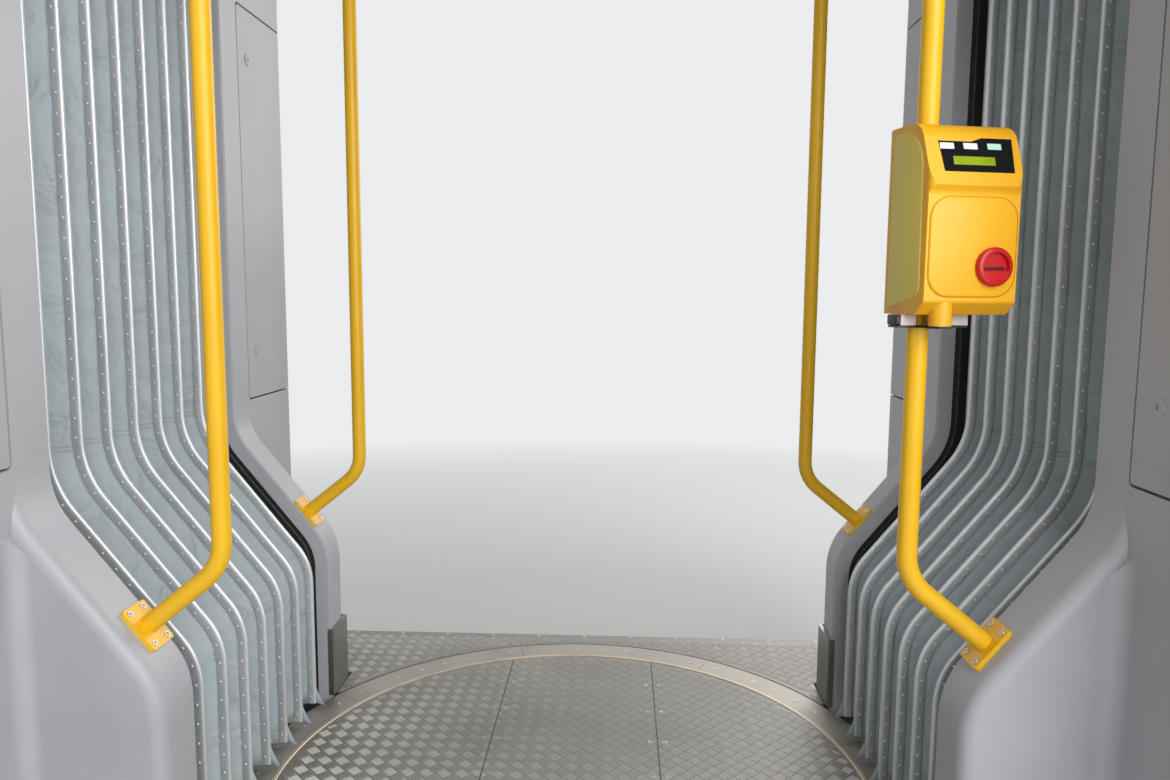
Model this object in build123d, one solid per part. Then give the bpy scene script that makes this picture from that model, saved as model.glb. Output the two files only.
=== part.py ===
from build123d import *
import os
from math import cos, radians, sin

os.makedirs("parts", exist_ok=True)

# Articulation gangway of a low-floor tram: the turning floor, the bellows, the two car ends with
# their linings and service doors, the grab poles and the pivot under the floor.
# +X to the right, +Y towards the far car, +Z up. The origin is on the pivot axis, on the ground
# plane of the end frames. All sizes are in millimetres.

# Driving sizes: the module as a whole
car_width = 2400.0
floor_z = 300.0            # walking surface above the underside of the frames
roof_rise = 2530.0         # top of the roof above the floor
floor_reach = 71.0         # of the car's own floor past the turning floor
face_y = 384.0             # lining face on the gangway side, from the pivot
running_gap = 0.3          # between faces that slide or seat on one another
joint_gap = 5.0            # between pieces that move past one another
overrun = 1.0              # of a cutter or a joining piece past the face that it meets
on_face = 0.01             # how near a plane an edge has to lie to be on it

# Keyhole outline of the lining, right half, as heights above the floor
soffit_rise = 2250.0
chamfer_rise = 2030.0      # where the chamfer meets the upper side
chamfer_deg = 37.0         # slope of the chamfer from the horizontal
side_depth = 263.0         # from the body's side to the lining's side above the shoulder
shoulder_rise = 740.0      # where the upper side meets the diagonal
diagonal_deg = 51.2        # slope of the diagonal from the horizontal
foot_depth = 249.0         # of the diagonal, from the lining's side in to its foot
chamfer_top_radius = 120.0
chamfer_side_radius = 120.0
shoulder_radius = 150.0
knee_radius = 180.0

# Body shell: side walls, curved roof edges and the skirt beside the cross frame
shell_wall = 60.0
side_taper = 20.0          # of each side wall from the waist to the roof edge
waist_rise = 900.0
roof_edge_drop = 90.0      # below the top of the roof
roof_flat_x = 500.0        # half width of the flat middle of the roof
waist_radius = 3000.0
roof_edge_radius = 190.0
roof_radius = 2000.0
skirt_thickness = 25.0
skirt_rise = 90.0           # above the ground plane
gutter_drop = 265.0        # below the top of the roof
gutter_height = 16.0
gutter_proud = 9.0

# Lining
bulkhead_depth = 115.0
column_depth = 416.0       # from the gangway face to the saloon face
lining_edge = 4.0          # chamfer on the gangway side
lining_ridge = 26.0        # rounding on the saloon side
column_blend = 30.0        # hollow rounding between bulkhead and column
seal_inset = 38.0          # visible face of the lining inside the seal
seal_width = 57.0
seal_recess = 14.0
seal_thickness = 11.0

# Service doors that wrap round the columns, and the cabinets behind them
door_rise = 820.0          # above the floor
door_head = 140.0          # from the lining's chamfer down to the door's top
door_thickness = 20.0
door_start_y = 490.0
door_side_frame = 25.0     # lining left between the door and the body shell
door_corner = 8.0
cabinet_frame = 25.0       # rim on which the shut door seats
hinge_pin_radius = 4.0
hinge_pin_depth = 14.0
lock_y = 550.0
lock_from_end = 133.0      # from the door's top and bottom edges
lock_radius = 15.0
lock_proud = 2.5
lock_key = 9.0

# Ceiling fittings
lamp_x = 350.0
lamp_radius = 40.0
lamp_depth = 14.0
lamp_bezel = 6.0
lamp_bezel_depth = 2.0
slot_length = 420.0
slot_width = 24.0
slot_depth = 16.0
sensor_radius = 60.0
sensor_depth = 20.0
sensor_bevel = 8.0
sensor_lift = 144.0        # above the soffit

# Kick plates at the feet
kick_height = 190.0
kick_proud = 10.0
kick_wrap = 8.0            # onto the two faces of the foot
kick_sheet = 2.0
kick_edge = 4.0

# Bellows: clamp hoops and fabric folds
hoop_count = 7
hoop_pitch = 103.3
hoop_width = 10.0
hoop_depth = 20.0
hoop_nose = 4.0
hoop_top_shift = 18.0      # from the lining's outline outwards, run by run
hoop_chamfer_shift = 30.0
hoop_side_shift = 48.0
hoop_diagonal_shift = 30.0
hoop_foot_shift = 18.0
hoop_foot_gap = 12.0       # above the floor
fold_depth = 85.0
fold_wall = 5.0
end_profile_inset = 74.0
end_profile_depth = 18.0
end_profile_width = 10.0

# Turning floor
panel_radius = 679.0
panel_thickness = 18.0
panel_seam_x = 210.0
panel_seam = 2.0
rim_width = 11.0
rim_proud = 2.5
rim_bevel = 2.0
ring_width = 83.4
ring_thickness = 6.0
ring_segments = 8
ring_first_joint_deg = 15.0
ring_joint = 1.0
rim_beam_width = 179.0
rim_beam_depth = 37.0
carrier_plate = 14.0
rib_count = 6
rib_width = 60.0
hub_radius = 110.0

# Pivot and consoles, heights above the ground plane
pin_radius = 40.0
pin_cover = 12.0           # between the pin's top and the panels
console_root_width = 680.0
console_hub_radius = 240.0
console_thickness = 60.0
console_rise = 20.0
console_web = 50.0         # left round the windows of a console
console_window_depth = 90.0
race_radius = 150.0
race_outer_radius = 230.0
race_bore = 80.0
race_height = 40.0
race_step = 5.0            # between the underside of the inner race and the near console

# Cross frames
frame_inset_y = 16.0       # behind the lining's gangway face
frame_plate = 12.0
frame_pocket_count = 3     # each side of the middle
frame_well_depth = 44.0    # below the car's floor plate, for the turning floor
pad_width = 70.0
pad_radius = 636.0
pad_deg = (55.0, 125.0)
floor_plate = 24.0
floor_edge_inset = 2.0
floor_side_inset = 5.0     # from the lining's upper sides
bolt_inset = 200.0         # from the body's side
bolt_rise = 60.0
bolt_pitch = 120.0
bolt_radius = 9.0

# Grab poles
pole_radius = 17.5
pole_inset = 330.0         # from the lining's side
pole_y = 420.0
pole_rise = 631.0          # height of the lower bend above the floor
pole_height = 1326.0       # from bend to bend
pole_bend_radius = 90.0
flange_length = 90.0
flange_width = 70.0
flange_thickness = 8.0
flange_corner = 6.0

# Ticket validator on the near right pole; its own frame is turned about the pole
validator_turn_deg = 13.0
validator_rise = 1091.0    # above the floor
validator_height = 308.0
validator_width = 166.0
validator_left = -39.0     # left side from the pole
validator_front = 82.0     # foremost edge from the pole
validator_depth = 136.0
validator_round = 14.0
head_height = 102.0        # slanted head above the card panel
head_overhang = 8.0
head_shelf = 11.0
head_lean = 36.0           # set-back of the head's top
head_crown = 40.0
head_back_round = 18.0
chin_rise = 21.0           # sloped underside at the front
chin_depth = 24.0
display_width = 132.0
display_side = 6.0         # right of the housing's middle
display_taper = 4.0        # of each side, from the top to the bottom
display_start = 22.0       # along the slope, from the head's lower edge
display_height = 60.0
display_step = 7.0         # raised right part of its top edge
display_ramp_x = 12.0      # where the raised part starts
display_ramp = 20.0        # length of the ramp that leads up to it
display_thickness = 4.0
knob_side = 36.0           # right of the housing's middle
knob_lift = 78.0           # above the housing's underside
knob_radius = 31.5
knob_depth = 13.0
knob_bevel = 5.0
knob_slot_width = 44.0
knob_slot_height = 3.0
knob_slot_drop = 6.0
bracket_left = -52.0
bracket_length = 130.0
bracket_height = 18.0
bracket_front = 22.0
bracket_depth = 72.0
bracket_notch = 22.0       # open in front of the pole, from its left side
foot_plate = 4.0
neck_x = 4.0
neck_front = 56.0
neck_radius = 18.0

# Worked out from the sizes above
half_width = car_width / 2
side_x = half_width - side_depth
foot_x = side_x - foot_depth
pole_x = side_x - pole_inset
roof_edge_x = half_width - side_taper
roof_z = floor_z + roof_rise
frame_top = floor_z - floor_plate
soffit_z = floor_z + soffit_rise
bulkhead_back = face_y + bulkhead_depth
saloon_y = face_y + column_depth
middle_y = (face_y + saloon_y) / 2
rim_outer = panel_radius + running_gap + rim_width
ring_inner = rim_outer + running_gap
ring_radius = ring_inner + ring_width
turning_gap = ring_radius + joint_gap
end_y = turning_gap + floor_reach
frame_half = half_width - skirt_thickness - running_gap
far_console_rise = console_rise + console_thickness + race_step + race_height
hoop_low = floor_z + hoop_foot_gap
hoop_shift = (hoop_top_shift, hoop_chamfer_shift, hoop_side_shift, hoop_diagonal_shift, hoop_foot_shift)
door_z = (floor_z + door_rise, floor_z + chamfer_rise - door_head)
door_outer_x = roof_edge_x - shell_wall - door_side_frame
hinge_x = door_outer_x - door_thickness / 2
hinge_y = saloon_y - door_thickness / 2
cha, sha = cos(radians(chamfer_deg)), sin(radians(chamfer_deg))
dia, sia = cos(radians(diagonal_deg)), sin(radians(diagonal_deg))


def even(shift):
    """One shift for all five runs of the keyhole: top, chamfer, side, diagonal, foot."""
    return (shift,) * 5


def outward(shifts, extra):
    """The same runs moved further out by one more distance."""
    return tuple(s + extra for s in shifts)


def keyhole(shifts, low):
    """Keyhole line from the left foot over the top to the right foot, each run moved outwards."""
    top, slope, side, diagonal, foot = shifts
    top_z = soffit_z + top
    chamfer_z = floor_z + chamfer_rise
    shoulder_z = floor_z + shoulder_rise
    x1 = side_x + (slope - (top_z - chamfer_z) * cha) / sha
    x2 = side_x + side
    z2 = chamfer_z + (slope - side * sha) / cha
    z3 = shoulder_z + (side * sia - diagonal) / dia
    x4 = foot_x + foot
    z4 = shoulder_z + ((x4 - side_x) * sia - diagonal) / dia
    half = [(x1, top_z), (x2, z2), (x2, z3), (x4, z4), (x4, low)]
    radii = [
        chamfer_top_radius + (top + slope) / 2,
        chamfer_side_radius + (slope + side) / 2,
        shoulder_radius + (side + diagonal) / 2,
        knee_radius - (diagonal + foot) / 2,
    ]
    points = [(-x, z) for x, z in reversed(half)] + half
    return FilletPolyline(*points, radius=list(reversed(radii)) + radii)


def closed(line):
    """The area inside an open line, closed from its end to its start."""
    return make_face([*line.edges(), Line(line @ 1, line @ 0)])


def band(shifts, depth, low):
    """The strip between a keyhole line and one that lies further out."""
    inner = keyhole(shifts, low)
    outer = keyhole(outward(shifts, depth), low)
    return make_face([*inner.edges(), *outer.edges(), Line(inner @ 0, outer @ 0), Line(inner @ 1, outer @ 1)])


def car_section(low):
    """Outside of the car body across the car, from the height low to the roof."""
    half = [(half_width, low), (half_width, floor_z + waist_rise), (roof_edge_x, roof_z - roof_edge_drop)]
    half += [(roof_flat_x, roof_z)]
    points = [(-x, z) for x, z in half] + [(x, z) for x, z in reversed(half)]
    radii = [waist_radius, roof_edge_radius, roof_radius]
    return closed(FilletPolyline(*points, radius=radii + list(reversed(radii))))


def inside(margin, low):
    """The car's section inside its skin by a margin, down to the height low."""
    return offset(car_section(low - margin), amount=-margin, kind=Kind.INTERSECTION)


def upright(y):
    """Plane across the car at y, with local x to the right and local y up."""
    return Plane(origin=(0, y, 0), x_dir=(1, 0, 0), z_dir=(0, -1, 0))


def slab(area, y0, y1):
    """An area across the car made solid from y0 to y1."""
    return extrude(upright(y1) * area, amount=y1 - y0)


def block(x, y, z):
    """A box from its low and high x, y and z."""
    middle = ((x[0] + x[1]) / 2, (y[0] + y[1]) / 2, (z[0] + z[1]) / 2)
    return Pos(*middle) * Box(x[1] - x[0], y[1] - y[0], z[1] - z[0])


def disc(radius, low, high):
    """An upright cylinder on the pivot axis."""
    return Pos(0, 0, (low + high) / 2) * Cylinder(radius, high - low)


def post(x, y, radius, low, high):
    """An upright cylinder anywhere."""
    return Pos(x, y, 0) * disc(radius, low, high)


def pair(right):
    """A piece and its mirror image on the other side of the car."""
    return [right, mirror(right, about=Plane.YZ)]


def half_turn(shape):
    """The same piece, or list of pieces, for the near car."""
    if isinstance(shape, list):
        return [Rot(0, 0, 180) * piece for piece in shape]
    return Rot(0, 0, 180) * shape


def save(name, shape):
    """Write one node; the pieces of a list stay separate solids."""
    whole = Compound(children=shape) if isinstance(shape, list) else shape
    export_step(whole, f"parts/{name}.step")


def keyhole_edges(shape, y, low):
    """Edges of a shape on the plane y that follow the keyhole line, above the height low."""
    line = upright(y) * keyhole(even(0), low)
    return [edge for edge in shape.edges() if line.distance_to(edge @ 0.5) < on_face]


# Body shell of the car end, with its skirt and the gutter along the roof edge
def body_shell():
    """Ring of side walls and roof, open at both ends and below."""
    room = inside(shell_wall, frame_top)
    leg = half_width - skirt_thickness
    under = make_face(Polyline(
        (-leg, skirt_rise - overrun), (leg, skirt_rise - overrun),
        (leg, frame_top), (-leg, frame_top), close=True))
    shell = slab(car_section(skirt_rise) - room - under, face_y, end_y)
    z = (roof_z - gutter_drop, roof_z - gutter_drop + gutter_height)
    gutter = block((roof_edge_x - shell_wall / 2, half_width), (face_y, end_y), z)
    gutter -= slab(car_section(frame_top), face_y - overrun, end_y + overrun)
    gutter &= slab(offset(car_section(frame_top), amount=gutter_proud), face_y, end_y)
    for side in pair(gutter):
        shell += side
    return shell


# Lining: bulkhead with the keyhole, columns with their cabinets, header and seal recess
def door_recess():
    """Room for the right door: the L of the door itself, its gaps and the cabinet behind it."""
    z = (door_z[0] - joint_gap, door_z[1] + joint_gap)
    back_x = side_x + door_thickness + running_gap
    front_y = saloon_y - door_thickness - running_gap
    leg = block((side_x - overrun, back_x), (door_start_y - joint_gap, saloon_y + overrun), z)
    ends = [e for e in leg.edges().filter_by(Axis.X) if e.center().Y < door_start_y]
    recess = fillet(ends, door_corner + joint_gap)
    recess += block((side_x - overrun, door_outer_x + joint_gap), (front_y, saloon_y + overrun), z)
    x = (side_x - overrun, door_outer_x - cabinet_frame)
    y = (door_start_y + cabinet_frame, saloon_y + overrun)
    return recess + block(x, y, (door_z[0] + cabinet_frame, door_z[1] - cabinet_frame))


def hinge_pins(radius):
    """The two pins at the outer edge of the right door, or their bores."""
    low = (door_z[0] - joint_gap - overrun, door_z[0] + hinge_pin_depth)
    high = (door_z[1] - hinge_pin_depth, door_z[1] + joint_gap + overrun)
    return [post(hinge_x, hinge_y, radius, *span) for span in (low, high)]


def lining():
    """The moulding of one car end, in one piece."""
    wall = inside(shell_wall + running_gap, frame_top)
    hole = closed(keyhole(even(0), frame_top - overrun))
    bulkhead = slab(wall - hole, face_y, bulkhead_back)
    bulkhead = chamfer(keyhole_edges(bulkhead, face_y, frame_top), lining_edge)
    bulkhead = fillet(keyhole_edges(bulkhead, bulkhead_back, frame_top), lining_ridge)
    below_arch = make_face(Polyline(
        (-side_x, frame_top - overrun), (side_x, frame_top - overrun),
        (side_x, door_z[1]), (-side_x, door_z[1]), close=True))
    arch = slab(wall - hole - below_arch, face_y + 2 * lining_edge, saloon_y)
    arch = fillet([e for e in keyhole_edges(arch, saloon_y, frame_top)
                   if e.center().Z > door_z[1] or abs(e.center().X) > side_x - on_face], lining_ridge)
    body = bulkhead + arch
    blend = block((side_x - column_blend, side_x), (bulkhead_back, bulkhead_back + column_blend),
                  (frame_top, floor_z + shoulder_rise + shoulder_radius))
    blend -= post(side_x - column_blend, bulkhead_back + column_blend, column_blend, 0, roof_z)
    blend -= slab(closed(keyhole(even(lining_ridge), frame_top - overrun)), bulkhead_back, saloon_y)
    for piece in pair(blend):
        body += piece
    beyond_seal = wall - closed(keyhole(even(seal_inset), frame_top - overrun))
    body -= slab(beyond_seal, face_y - overrun, face_y + seal_recess)
    for cut in pair(door_recess()):
        body -= cut
    for pin in hinge_pins(hinge_pin_radius):
        for piece in pair(pin):
            body += piece
    for x in (-lamp_x, lamp_x):
        body -= post(x, middle_y, lamp_radius, soffit_z - overrun, soffit_z + lamp_depth)
    slot_y = (middle_y - slot_width / 2, middle_y + slot_width / 2)
    body -= block((-slot_length / 2, slot_length / 2), slot_y, (soffit_z - overrun, soffit_z + slot_depth))
    return body - disc(turning_gap, 0, floor_z + rim_proud + joint_gap)


# Service doors with their round locks
def service_door():
    """The right door, shut: an L round the column, with a full round at its hinged edge."""
    leg = block((side_x, side_x + door_thickness), (door_start_y, saloon_y), door_z)
    ends = [e for e in leg.edges().filter_by(Axis.X) if e.center().Y < door_start_y + on_face]
    door = fillet(ends, door_corner)
    door += block((side_x, hinge_x), (saloon_y - door_thickness, saloon_y), door_z)
    corner = [e for e in door.edges().filter_by(Axis.Z)
              if abs(e.center().X - side_x) < on_face and abs(e.center().Y - saloon_y) < on_face]
    door = fillet(corner, lining_ridge)
    door += post(hinge_x, hinge_y, door_thickness / 2, *door_z)
    for z in (door_z[0] + lock_from_end, door_z[1] - lock_from_end):
        seat = Pos(side_x, lock_y, z) * Rot(0, 90, 0)
        door += seat * Cylinder(lock_radius, 2 * lock_proud)
        door -= seat * Pos(0, 0, -lock_proud) * Box(lock_key, lock_key, 2 * lock_proud)
    for bore in hinge_pins(hinge_pin_radius + running_gap):
        door -= bore
    return door


# Lamps in the soffit and the round sensor on the header
def header_fittings():
    """Two lamps and the sensor."""
    pieces = []
    for x in (-lamp_x, lamp_x):
        lamp = post(x, middle_y, lamp_radius, soffit_z, soffit_z + lamp_depth)
        bezel = post(x, middle_y, lamp_radius + lamp_bezel, soffit_z - lamp_bezel_depth, soffit_z)
        pieces.append(lamp + bezel)
    seat = Pos(0, saloon_y + sensor_depth / 2, soffit_z + sensor_lift) * Rot(-90, 0, 0)
    sensor = seat * Cylinder(sensor_radius, sensor_depth)
    pieces.append(chamfer(sensor.edges().sort_by(Axis.Y)[-1], sensor_bevel))
    return pieces


# Rubber seal and the aluminium profile that clamps the end of the bellows
def seal():
    """Flat rubber strip in the lining's recess."""
    front = face_y + seal_recess - seal_thickness
    return slab(band(even(seal_inset + running_gap), seal_width, floor_z), front, face_y + seal_recess)


def end_profile():
    """Aluminium strip on the seal."""
    back = face_y + seal_recess - seal_thickness
    return slab(band(even(end_profile_inset), end_profile_depth, hoop_low), back - end_profile_width, back)


# Stainless kick plates folded round the feet
def kick_plates():
    """One plate for each foot."""
    z = (floor_z, floor_z + kick_height)
    y = (face_y - kick_sheet, bulkhead_back + kick_sheet)
    sheet = block((foot_x - kick_proud, foot_x + kick_wrap), y, z)
    corners = [e for e in sheet.edges().filter_by(Axis.Z) if e.center().X < foot_x]
    sheet = fillet(corners, kick_edge)
    sheet -= block((foot_x, foot_x + 2 * kick_wrap), (face_y, bulkhead_back), z)
    return pair(sheet - disc(turning_gap, floor_z - overrun, floor_z + rim_proud + joint_gap))


# Cross frame under the lining, pocketed on the gangway side, with its bolted end face
def cross_frame():
    """Welded box of plates: end face, top, bottom and the ribs between the pockets."""
    inner_y = face_y + frame_inset_y
    beam = block((-frame_half, frame_half), (inner_y, end_y), (0, frame_top))
    first = console_root_width / 2 + frame_plate
    pitch = (frame_half - first) / frame_pocket_count
    z = (frame_plate, frame_top - frame_well_depth - frame_plate)
    for n in range(frame_pocket_count):
        x = (first + n * pitch, first + (n + 1) * pitch - frame_plate)
        for cut in pair(block(x, (inner_y - overrun, end_y - frame_plate), z)):
            beam -= cut
    beam -= disc(turning_gap + joint_gap, frame_top - frame_well_depth, frame_top + overrun)
    bolt_x = half_width - bolt_inset
    bolt_hole = Rot(90, 0, 0) * Cylinder(bolt_radius, 2 * frame_plate)
    for x in (-bolt_x, bolt_x):
        for z in (bolt_rise, bolt_rise + bolt_pitch):
            beam -= Pos(x, end_y - frame_plate / 2, z) * bolt_hole
    pad_z = (frame_top - frame_well_depth, floor_z - panel_thickness - rim_beam_depth - running_gap)
    for angle in pad_deg:
        x, y = pad_radius * cos(radians(angle)), pad_radius * sin(radians(angle))
        beam += block((x - pad_width / 2, x + pad_width / 2), (y - pad_width / 2, y + pad_width / 2), pad_z)
    return beam


# Tread plate of the car up to the turning floor
def car_floor():
    """Plate between the feet and, wider, behind them."""
    z = (frame_top, floor_z)
    between_feet = foot_x - kick_proud - overrun
    behind_feet = bulkhead_back + column_blend + overrun
    wide = side_x - floor_side_inset
    plate = block((-between_feet, between_feet), (face_y + frame_inset_y, behind_feet), z)
    plate += block((-wide, wide), (behind_feet, end_y - floor_edge_inset), z)
    return plate - disc(turning_gap, frame_top - overrun, floor_z + overrun)


# Grab poles, bent out at both ends to a flange plate
def grab_pole():
    """The right pole, square to the lining's diagonal and chamfer at its two ends."""
    low_z, high_z = floor_z + pole_rise, floor_z + pole_rise + pole_height
    down = (side_x - pole_x) * sia + (low_z - floor_z - shoulder_rise) * dia
    low_end = Vector(pole_x + down * sia, pole_y, low_z - down * dia)
    up = (side_x - pole_x) * sha - (high_z - floor_z - chamfer_rise) * cha
    high_end = Vector(pole_x + up * sha, pole_y, high_z + up * cha)
    bends = [(pole_x, pole_y, low_z), (pole_x, pole_y, high_z)]
    path = FilletPolyline(low_end, *bends, high_end, radius=pole_bend_radius)
    pole = sweep(Plane(origin=path @ 0, z_dir=path % 0) * Circle(pole_radius), path=path)
    flange = extrude(RectangleRounded(flange_width, flange_length, flange_corner), amount=flange_thickness)
    for end, normal in ((low_end, Vector(-sia, 0, dia)), (high_end, Vector(-sha, 0, -cha))):
        pole += Plane(origin=end, x_dir=(0, 1, 0), z_dir=normal) * flange
    return pole


# Bellows: clamp hoops and the folds between them
def hoop(y):
    """One clamp hoop, its two rims on the passage side bevelled to a nose."""
    ring = slab(band(hoop_shift, hoop_depth, hoop_low), y - hoop_width / 2, y + hoop_width / 2)
    line = keyhole(hoop_shift, hoop_low)
    rims = [upright(y + side * hoop_width / 2) * line for side in (-1, 1)]
    nose = [e for e in ring.edges() if any(rim.distance_to(e @ 0.5) < on_face for rim in rims)]
    return chamfer(nose, hoop_nose)


def fold(y0, shifts0, y1, shifts1, apex):
    """One fabric fold from a clamp at y0, out to its apex and back to a clamp at y1."""
    sections = [
        upright(y0) * band(shifts0, fold_wall, hoop_low),
        upright((y0 + y1) / 2) * band(apex, fold_wall, hoop_low),
        upright(y1) * band(shifts1, fold_wall, hoop_low),
    ]
    return loft(sections, ruled=True)


# Turning floor
def floor_panels():
    """Three tread panels of one disc, with open seams between them."""
    low = floor_z - panel_thickness
    whole = disc(panel_radius, low, floor_z)
    seam = panel_seam / 2
    edges = [-panel_radius, -panel_seam_x, panel_seam_x, panel_radius]
    spans = [(edges[0], edges[1] - seam), (edges[1] + seam, edges[2] - seam), (edges[2] + seam, edges[3])]
    return [whole & block(x, (-panel_radius, panel_radius), (low, floor_z)) for x in spans]


def rim_line():
    """Raised narrow ring round the panels."""
    low, high = floor_z - panel_thickness, floor_z + rim_proud
    rim = disc(rim_outer, low, high) - disc(panel_radius + running_gap, low, high)
    top = [e for e in rim.edges().filter_by(GeomType.CIRCLE) if abs(e.center().Z - high) < on_face]
    return chamfer(top, rim_bevel)


def cover_ring():
    """Flat cover ring in segments."""
    low = floor_z - ring_thickness
    ring = disc(ring_radius, low, floor_z) - disc(ring_inner, low, floor_z)
    step = 360.0 / ring_segments
    joint = Box(2 * turning_gap, ring_joint, 2 * ring_thickness)
    for n in range(ring_segments // 2):
        ring -= Rot(0, 0, ring_first_joint_deg + n * step) * Pos(0, 0, floor_z) * joint
    return list(ring.solids())


def carrier():
    """Round plate with a rim beam and ribs under it, and the hub that turns on the pin."""
    top = floor_z - panel_thickness
    low = top - rim_beam_depth
    beam_inner = ring_radius - joint_gap - rim_beam_width
    body = disc(ring_radius - joint_gap, low, floor_z - ring_thickness) - disc(beam_inner, low, floor_z)
    body += disc(beam_inner + overrun, top - carrier_plate, top)
    body -= disc(rim_outer, top, floor_z)
    for n in range(rib_count):
        rib = block((hub_radius / 2, beam_inner + overrun), (-rib_width / 2, rib_width / 2), (low, top))
        body += Rot(0, 0, n * 360.0 / rib_count) * rib
    body += disc(hub_radius, far_console_rise + console_thickness + running_gap, top)
    return body - disc(pin_radius + running_gap, 0, top + overrun)


# Consoles and slewing bearing
def console_arm(low, side):
    """Tapered arm from a cross frame to the pivot, with two windows beside its middle web."""
    root = side * (face_y + frame_inset_y)
    hub = disc(console_hub_radius, low, low + console_thickness)
    half_root = console_root_width / 2
    outline = Polyline((-half_root, root), (half_root, root),
                       (console_hub_radius, 0), (-console_hub_radius, 0), close=True)
    arm = extrude(Pos(0, 0, low) * make_face(outline), amount=console_thickness)
    near_root = root - side * console_web
    y = sorted((near_root, near_root - side * console_window_depth))
    through = (low - overrun, low + console_thickness + overrun)
    window = block((console_web / 2, half_root - 2 * console_web), y, through)
    window = fillet(window.edges().filter_by(Axis.Z), console_web / 2)
    for cut in pair(window):
        arm -= cut
    return hub + arm


def near_console():
    """Arm of the near car, with the pivot pin."""
    pin = disc(pin_radius, console_rise, floor_z - panel_thickness - pin_cover)
    return console_arm(console_rise, -1) + pin


def far_console():
    """Arm of the far car, bored for the pin."""
    return console_arm(far_console_rise, 1) - disc(pin_radius + running_gap, 0, floor_z)


def race(outer, inner, low):
    """One ring of the slewing bearing."""
    return disc(outer, low, low + race_height) - disc(inner, low, low + race_height)


# Ticket validator: housing, display window, knob, bracket and foot plate
def validator_profile():
    """Side view of the housing: local x is depth, front to the left, and local y is height."""
    low = floor_z + validator_rise
    high = low + validator_height
    front, back = -validator_front, validator_depth - validator_front
    panel = front + head_overhang
    neck_z = high - head_height
    corners = [
        (back, low + chin_rise), (back, low), (panel + chin_depth, low), (panel, low + chin_rise),
        (panel, neck_z - head_shelf), (front, neck_z), (front + head_lean, high), (back, high), (back, neck_z),
    ]
    radii = [head_overhang] * 3 + [2 * head_overhang, head_overhang / 2, head_crown, head_back_round]
    return closed(FilletPolyline(*corners, radius=radii))


def head_plane():
    """Plane on the head's slanted face, in the middle of its lower edge, local y up the slope."""
    x = validator_left + validator_width / 2
    z = floor_z + validator_rise + validator_height - head_height
    up = Vector(0, head_lean, head_height).normalized()
    return Plane(origin=(x, -validator_front, z), x_dir=(1, 0, 0), z_dir=Vector(1, 0, 0).cross(up))


def display_window():
    """Dark window, narrower below, with the right part of its top edge raised by a ramp."""
    half, low, high = display_width / 2, display_start, display_start + display_height
    outline = Polyline(
        (display_taper - half, low), (half - display_taper, low), (half, high), (display_ramp_x, high),
        (display_ramp_x - display_ramp, high - display_step), (-half, high - display_step), close=True)
    return head_plane() * Pos(display_side, 0) * extrude(make_face(outline), amount=-display_thickness)


def validator():
    """The validator's pieces by node name, placed on the pole."""
    low = floor_z + validator_rise
    side = Plane(origin=(validator_left, 0, 0), x_dir=(0, 1, 0), z_dir=(1, 0, 0))
    plan = RectangleRounded(validator_width, validator_depth, validator_round)
    middle = (validator_left + validator_width / 2, validator_depth / 2 - validator_front, low)
    housing = side * extrude(validator_profile(), amount=validator_width)
    housing &= Pos(*middle) * extrude(plan, amount=validator_height)
    window = display_window()
    housing -= window
    neck = post(neck_x, -neck_front, neck_radius, low - bracket_height, low + chin_rise)
    housing += neck
    knob_x = validator_left + validator_width / 2 + knob_side
    seat = Pos(knob_x, head_overhang - validator_front, low + knob_lift) * Rot(90, 0, 0)
    knob = seat * Pos(0, 0, knob_depth / 2) * Cylinder(knob_radius, knob_depth)
    knob = chamfer(knob.edges().filter_by(GeomType.CIRCLE).sort_by(Axis.Y)[0], knob_bevel)
    knob -= seat * Pos(0, -knob_slot_drop, knob_depth) * Box(knob_slot_width, knob_slot_height, knob_depth)
    pole_bore = post(0, 0, pole_radius + running_gap, 0, roof_z)
    x = (bracket_left, bracket_left + bracket_length)
    y = (-bracket_front, bracket_depth - bracket_front)
    bracket = block(x, y, (low - bracket_height, low))
    bracket -= block((-pole_radius, bracket_notch - pole_radius), (y[0] - overrun, 0), (0, low + overrun))
    foot_z = (low - bracket_height - foot_plate, low - bracket_height)
    foot = block(x, y, foot_z) + post(neck_x, -neck_front, neck_radius, *foot_z)
    foot += block((neck_x - neck_radius, neck_x + neck_radius), (-neck_front, y[0] + overrun), foot_z)
    pieces = {
        "validator_housing": housing - pole_bore,
        "validator_display": window,
        "validator_knob": knob,
        "validator_bracket": bracket - pole_bore,
        "validator_foot": foot - pole_bore,
    }
    placed = Pos(pole_x, -pole_y, 0) * Rot(0, 0, validator_turn_deg)
    return {name: placed * piece for name, piece in pieces.items()}


# Pieces of one car end, made for the far car and turned half a turn for the near one
end_pieces = {
    "body_shell": body_shell(),
    "lining": lining(),
    "header_fittings": header_fittings(),
    "seal": seal(),
    "end_profile": end_profile(),
    "kick_plates": kick_plates(),
    "cross_frame": cross_frame(),
    "car_floor": car_floor(),
    "grab_poles": pair(grab_pole()),
}
for name, shape in end_pieces.items():
    save(f"far_{name}", shape)
    save(f"near_{name}", half_turn(shape))
right_door, left_door = pair(service_door())
save("far_right_door", right_door)
save("far_left_door", left_door)
save("near_left_door", half_turn(right_door))
save("near_right_door", half_turn(left_door))

# Pivot
save("near_console", near_console())
save("far_console", far_console())
save("bearing_outer_race", race(race_outer_radius, race_radius, console_rise + console_thickness))
save("bearing_inner_race", race(race_radius - running_gap, race_bore, far_console_rise - race_height))

# Turning floor
save("floor_carrier", carrier())
save("floor_panels", floor_panels())
save("floor_rim", rim_line())
save("floor_ring", cover_ring())

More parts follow.
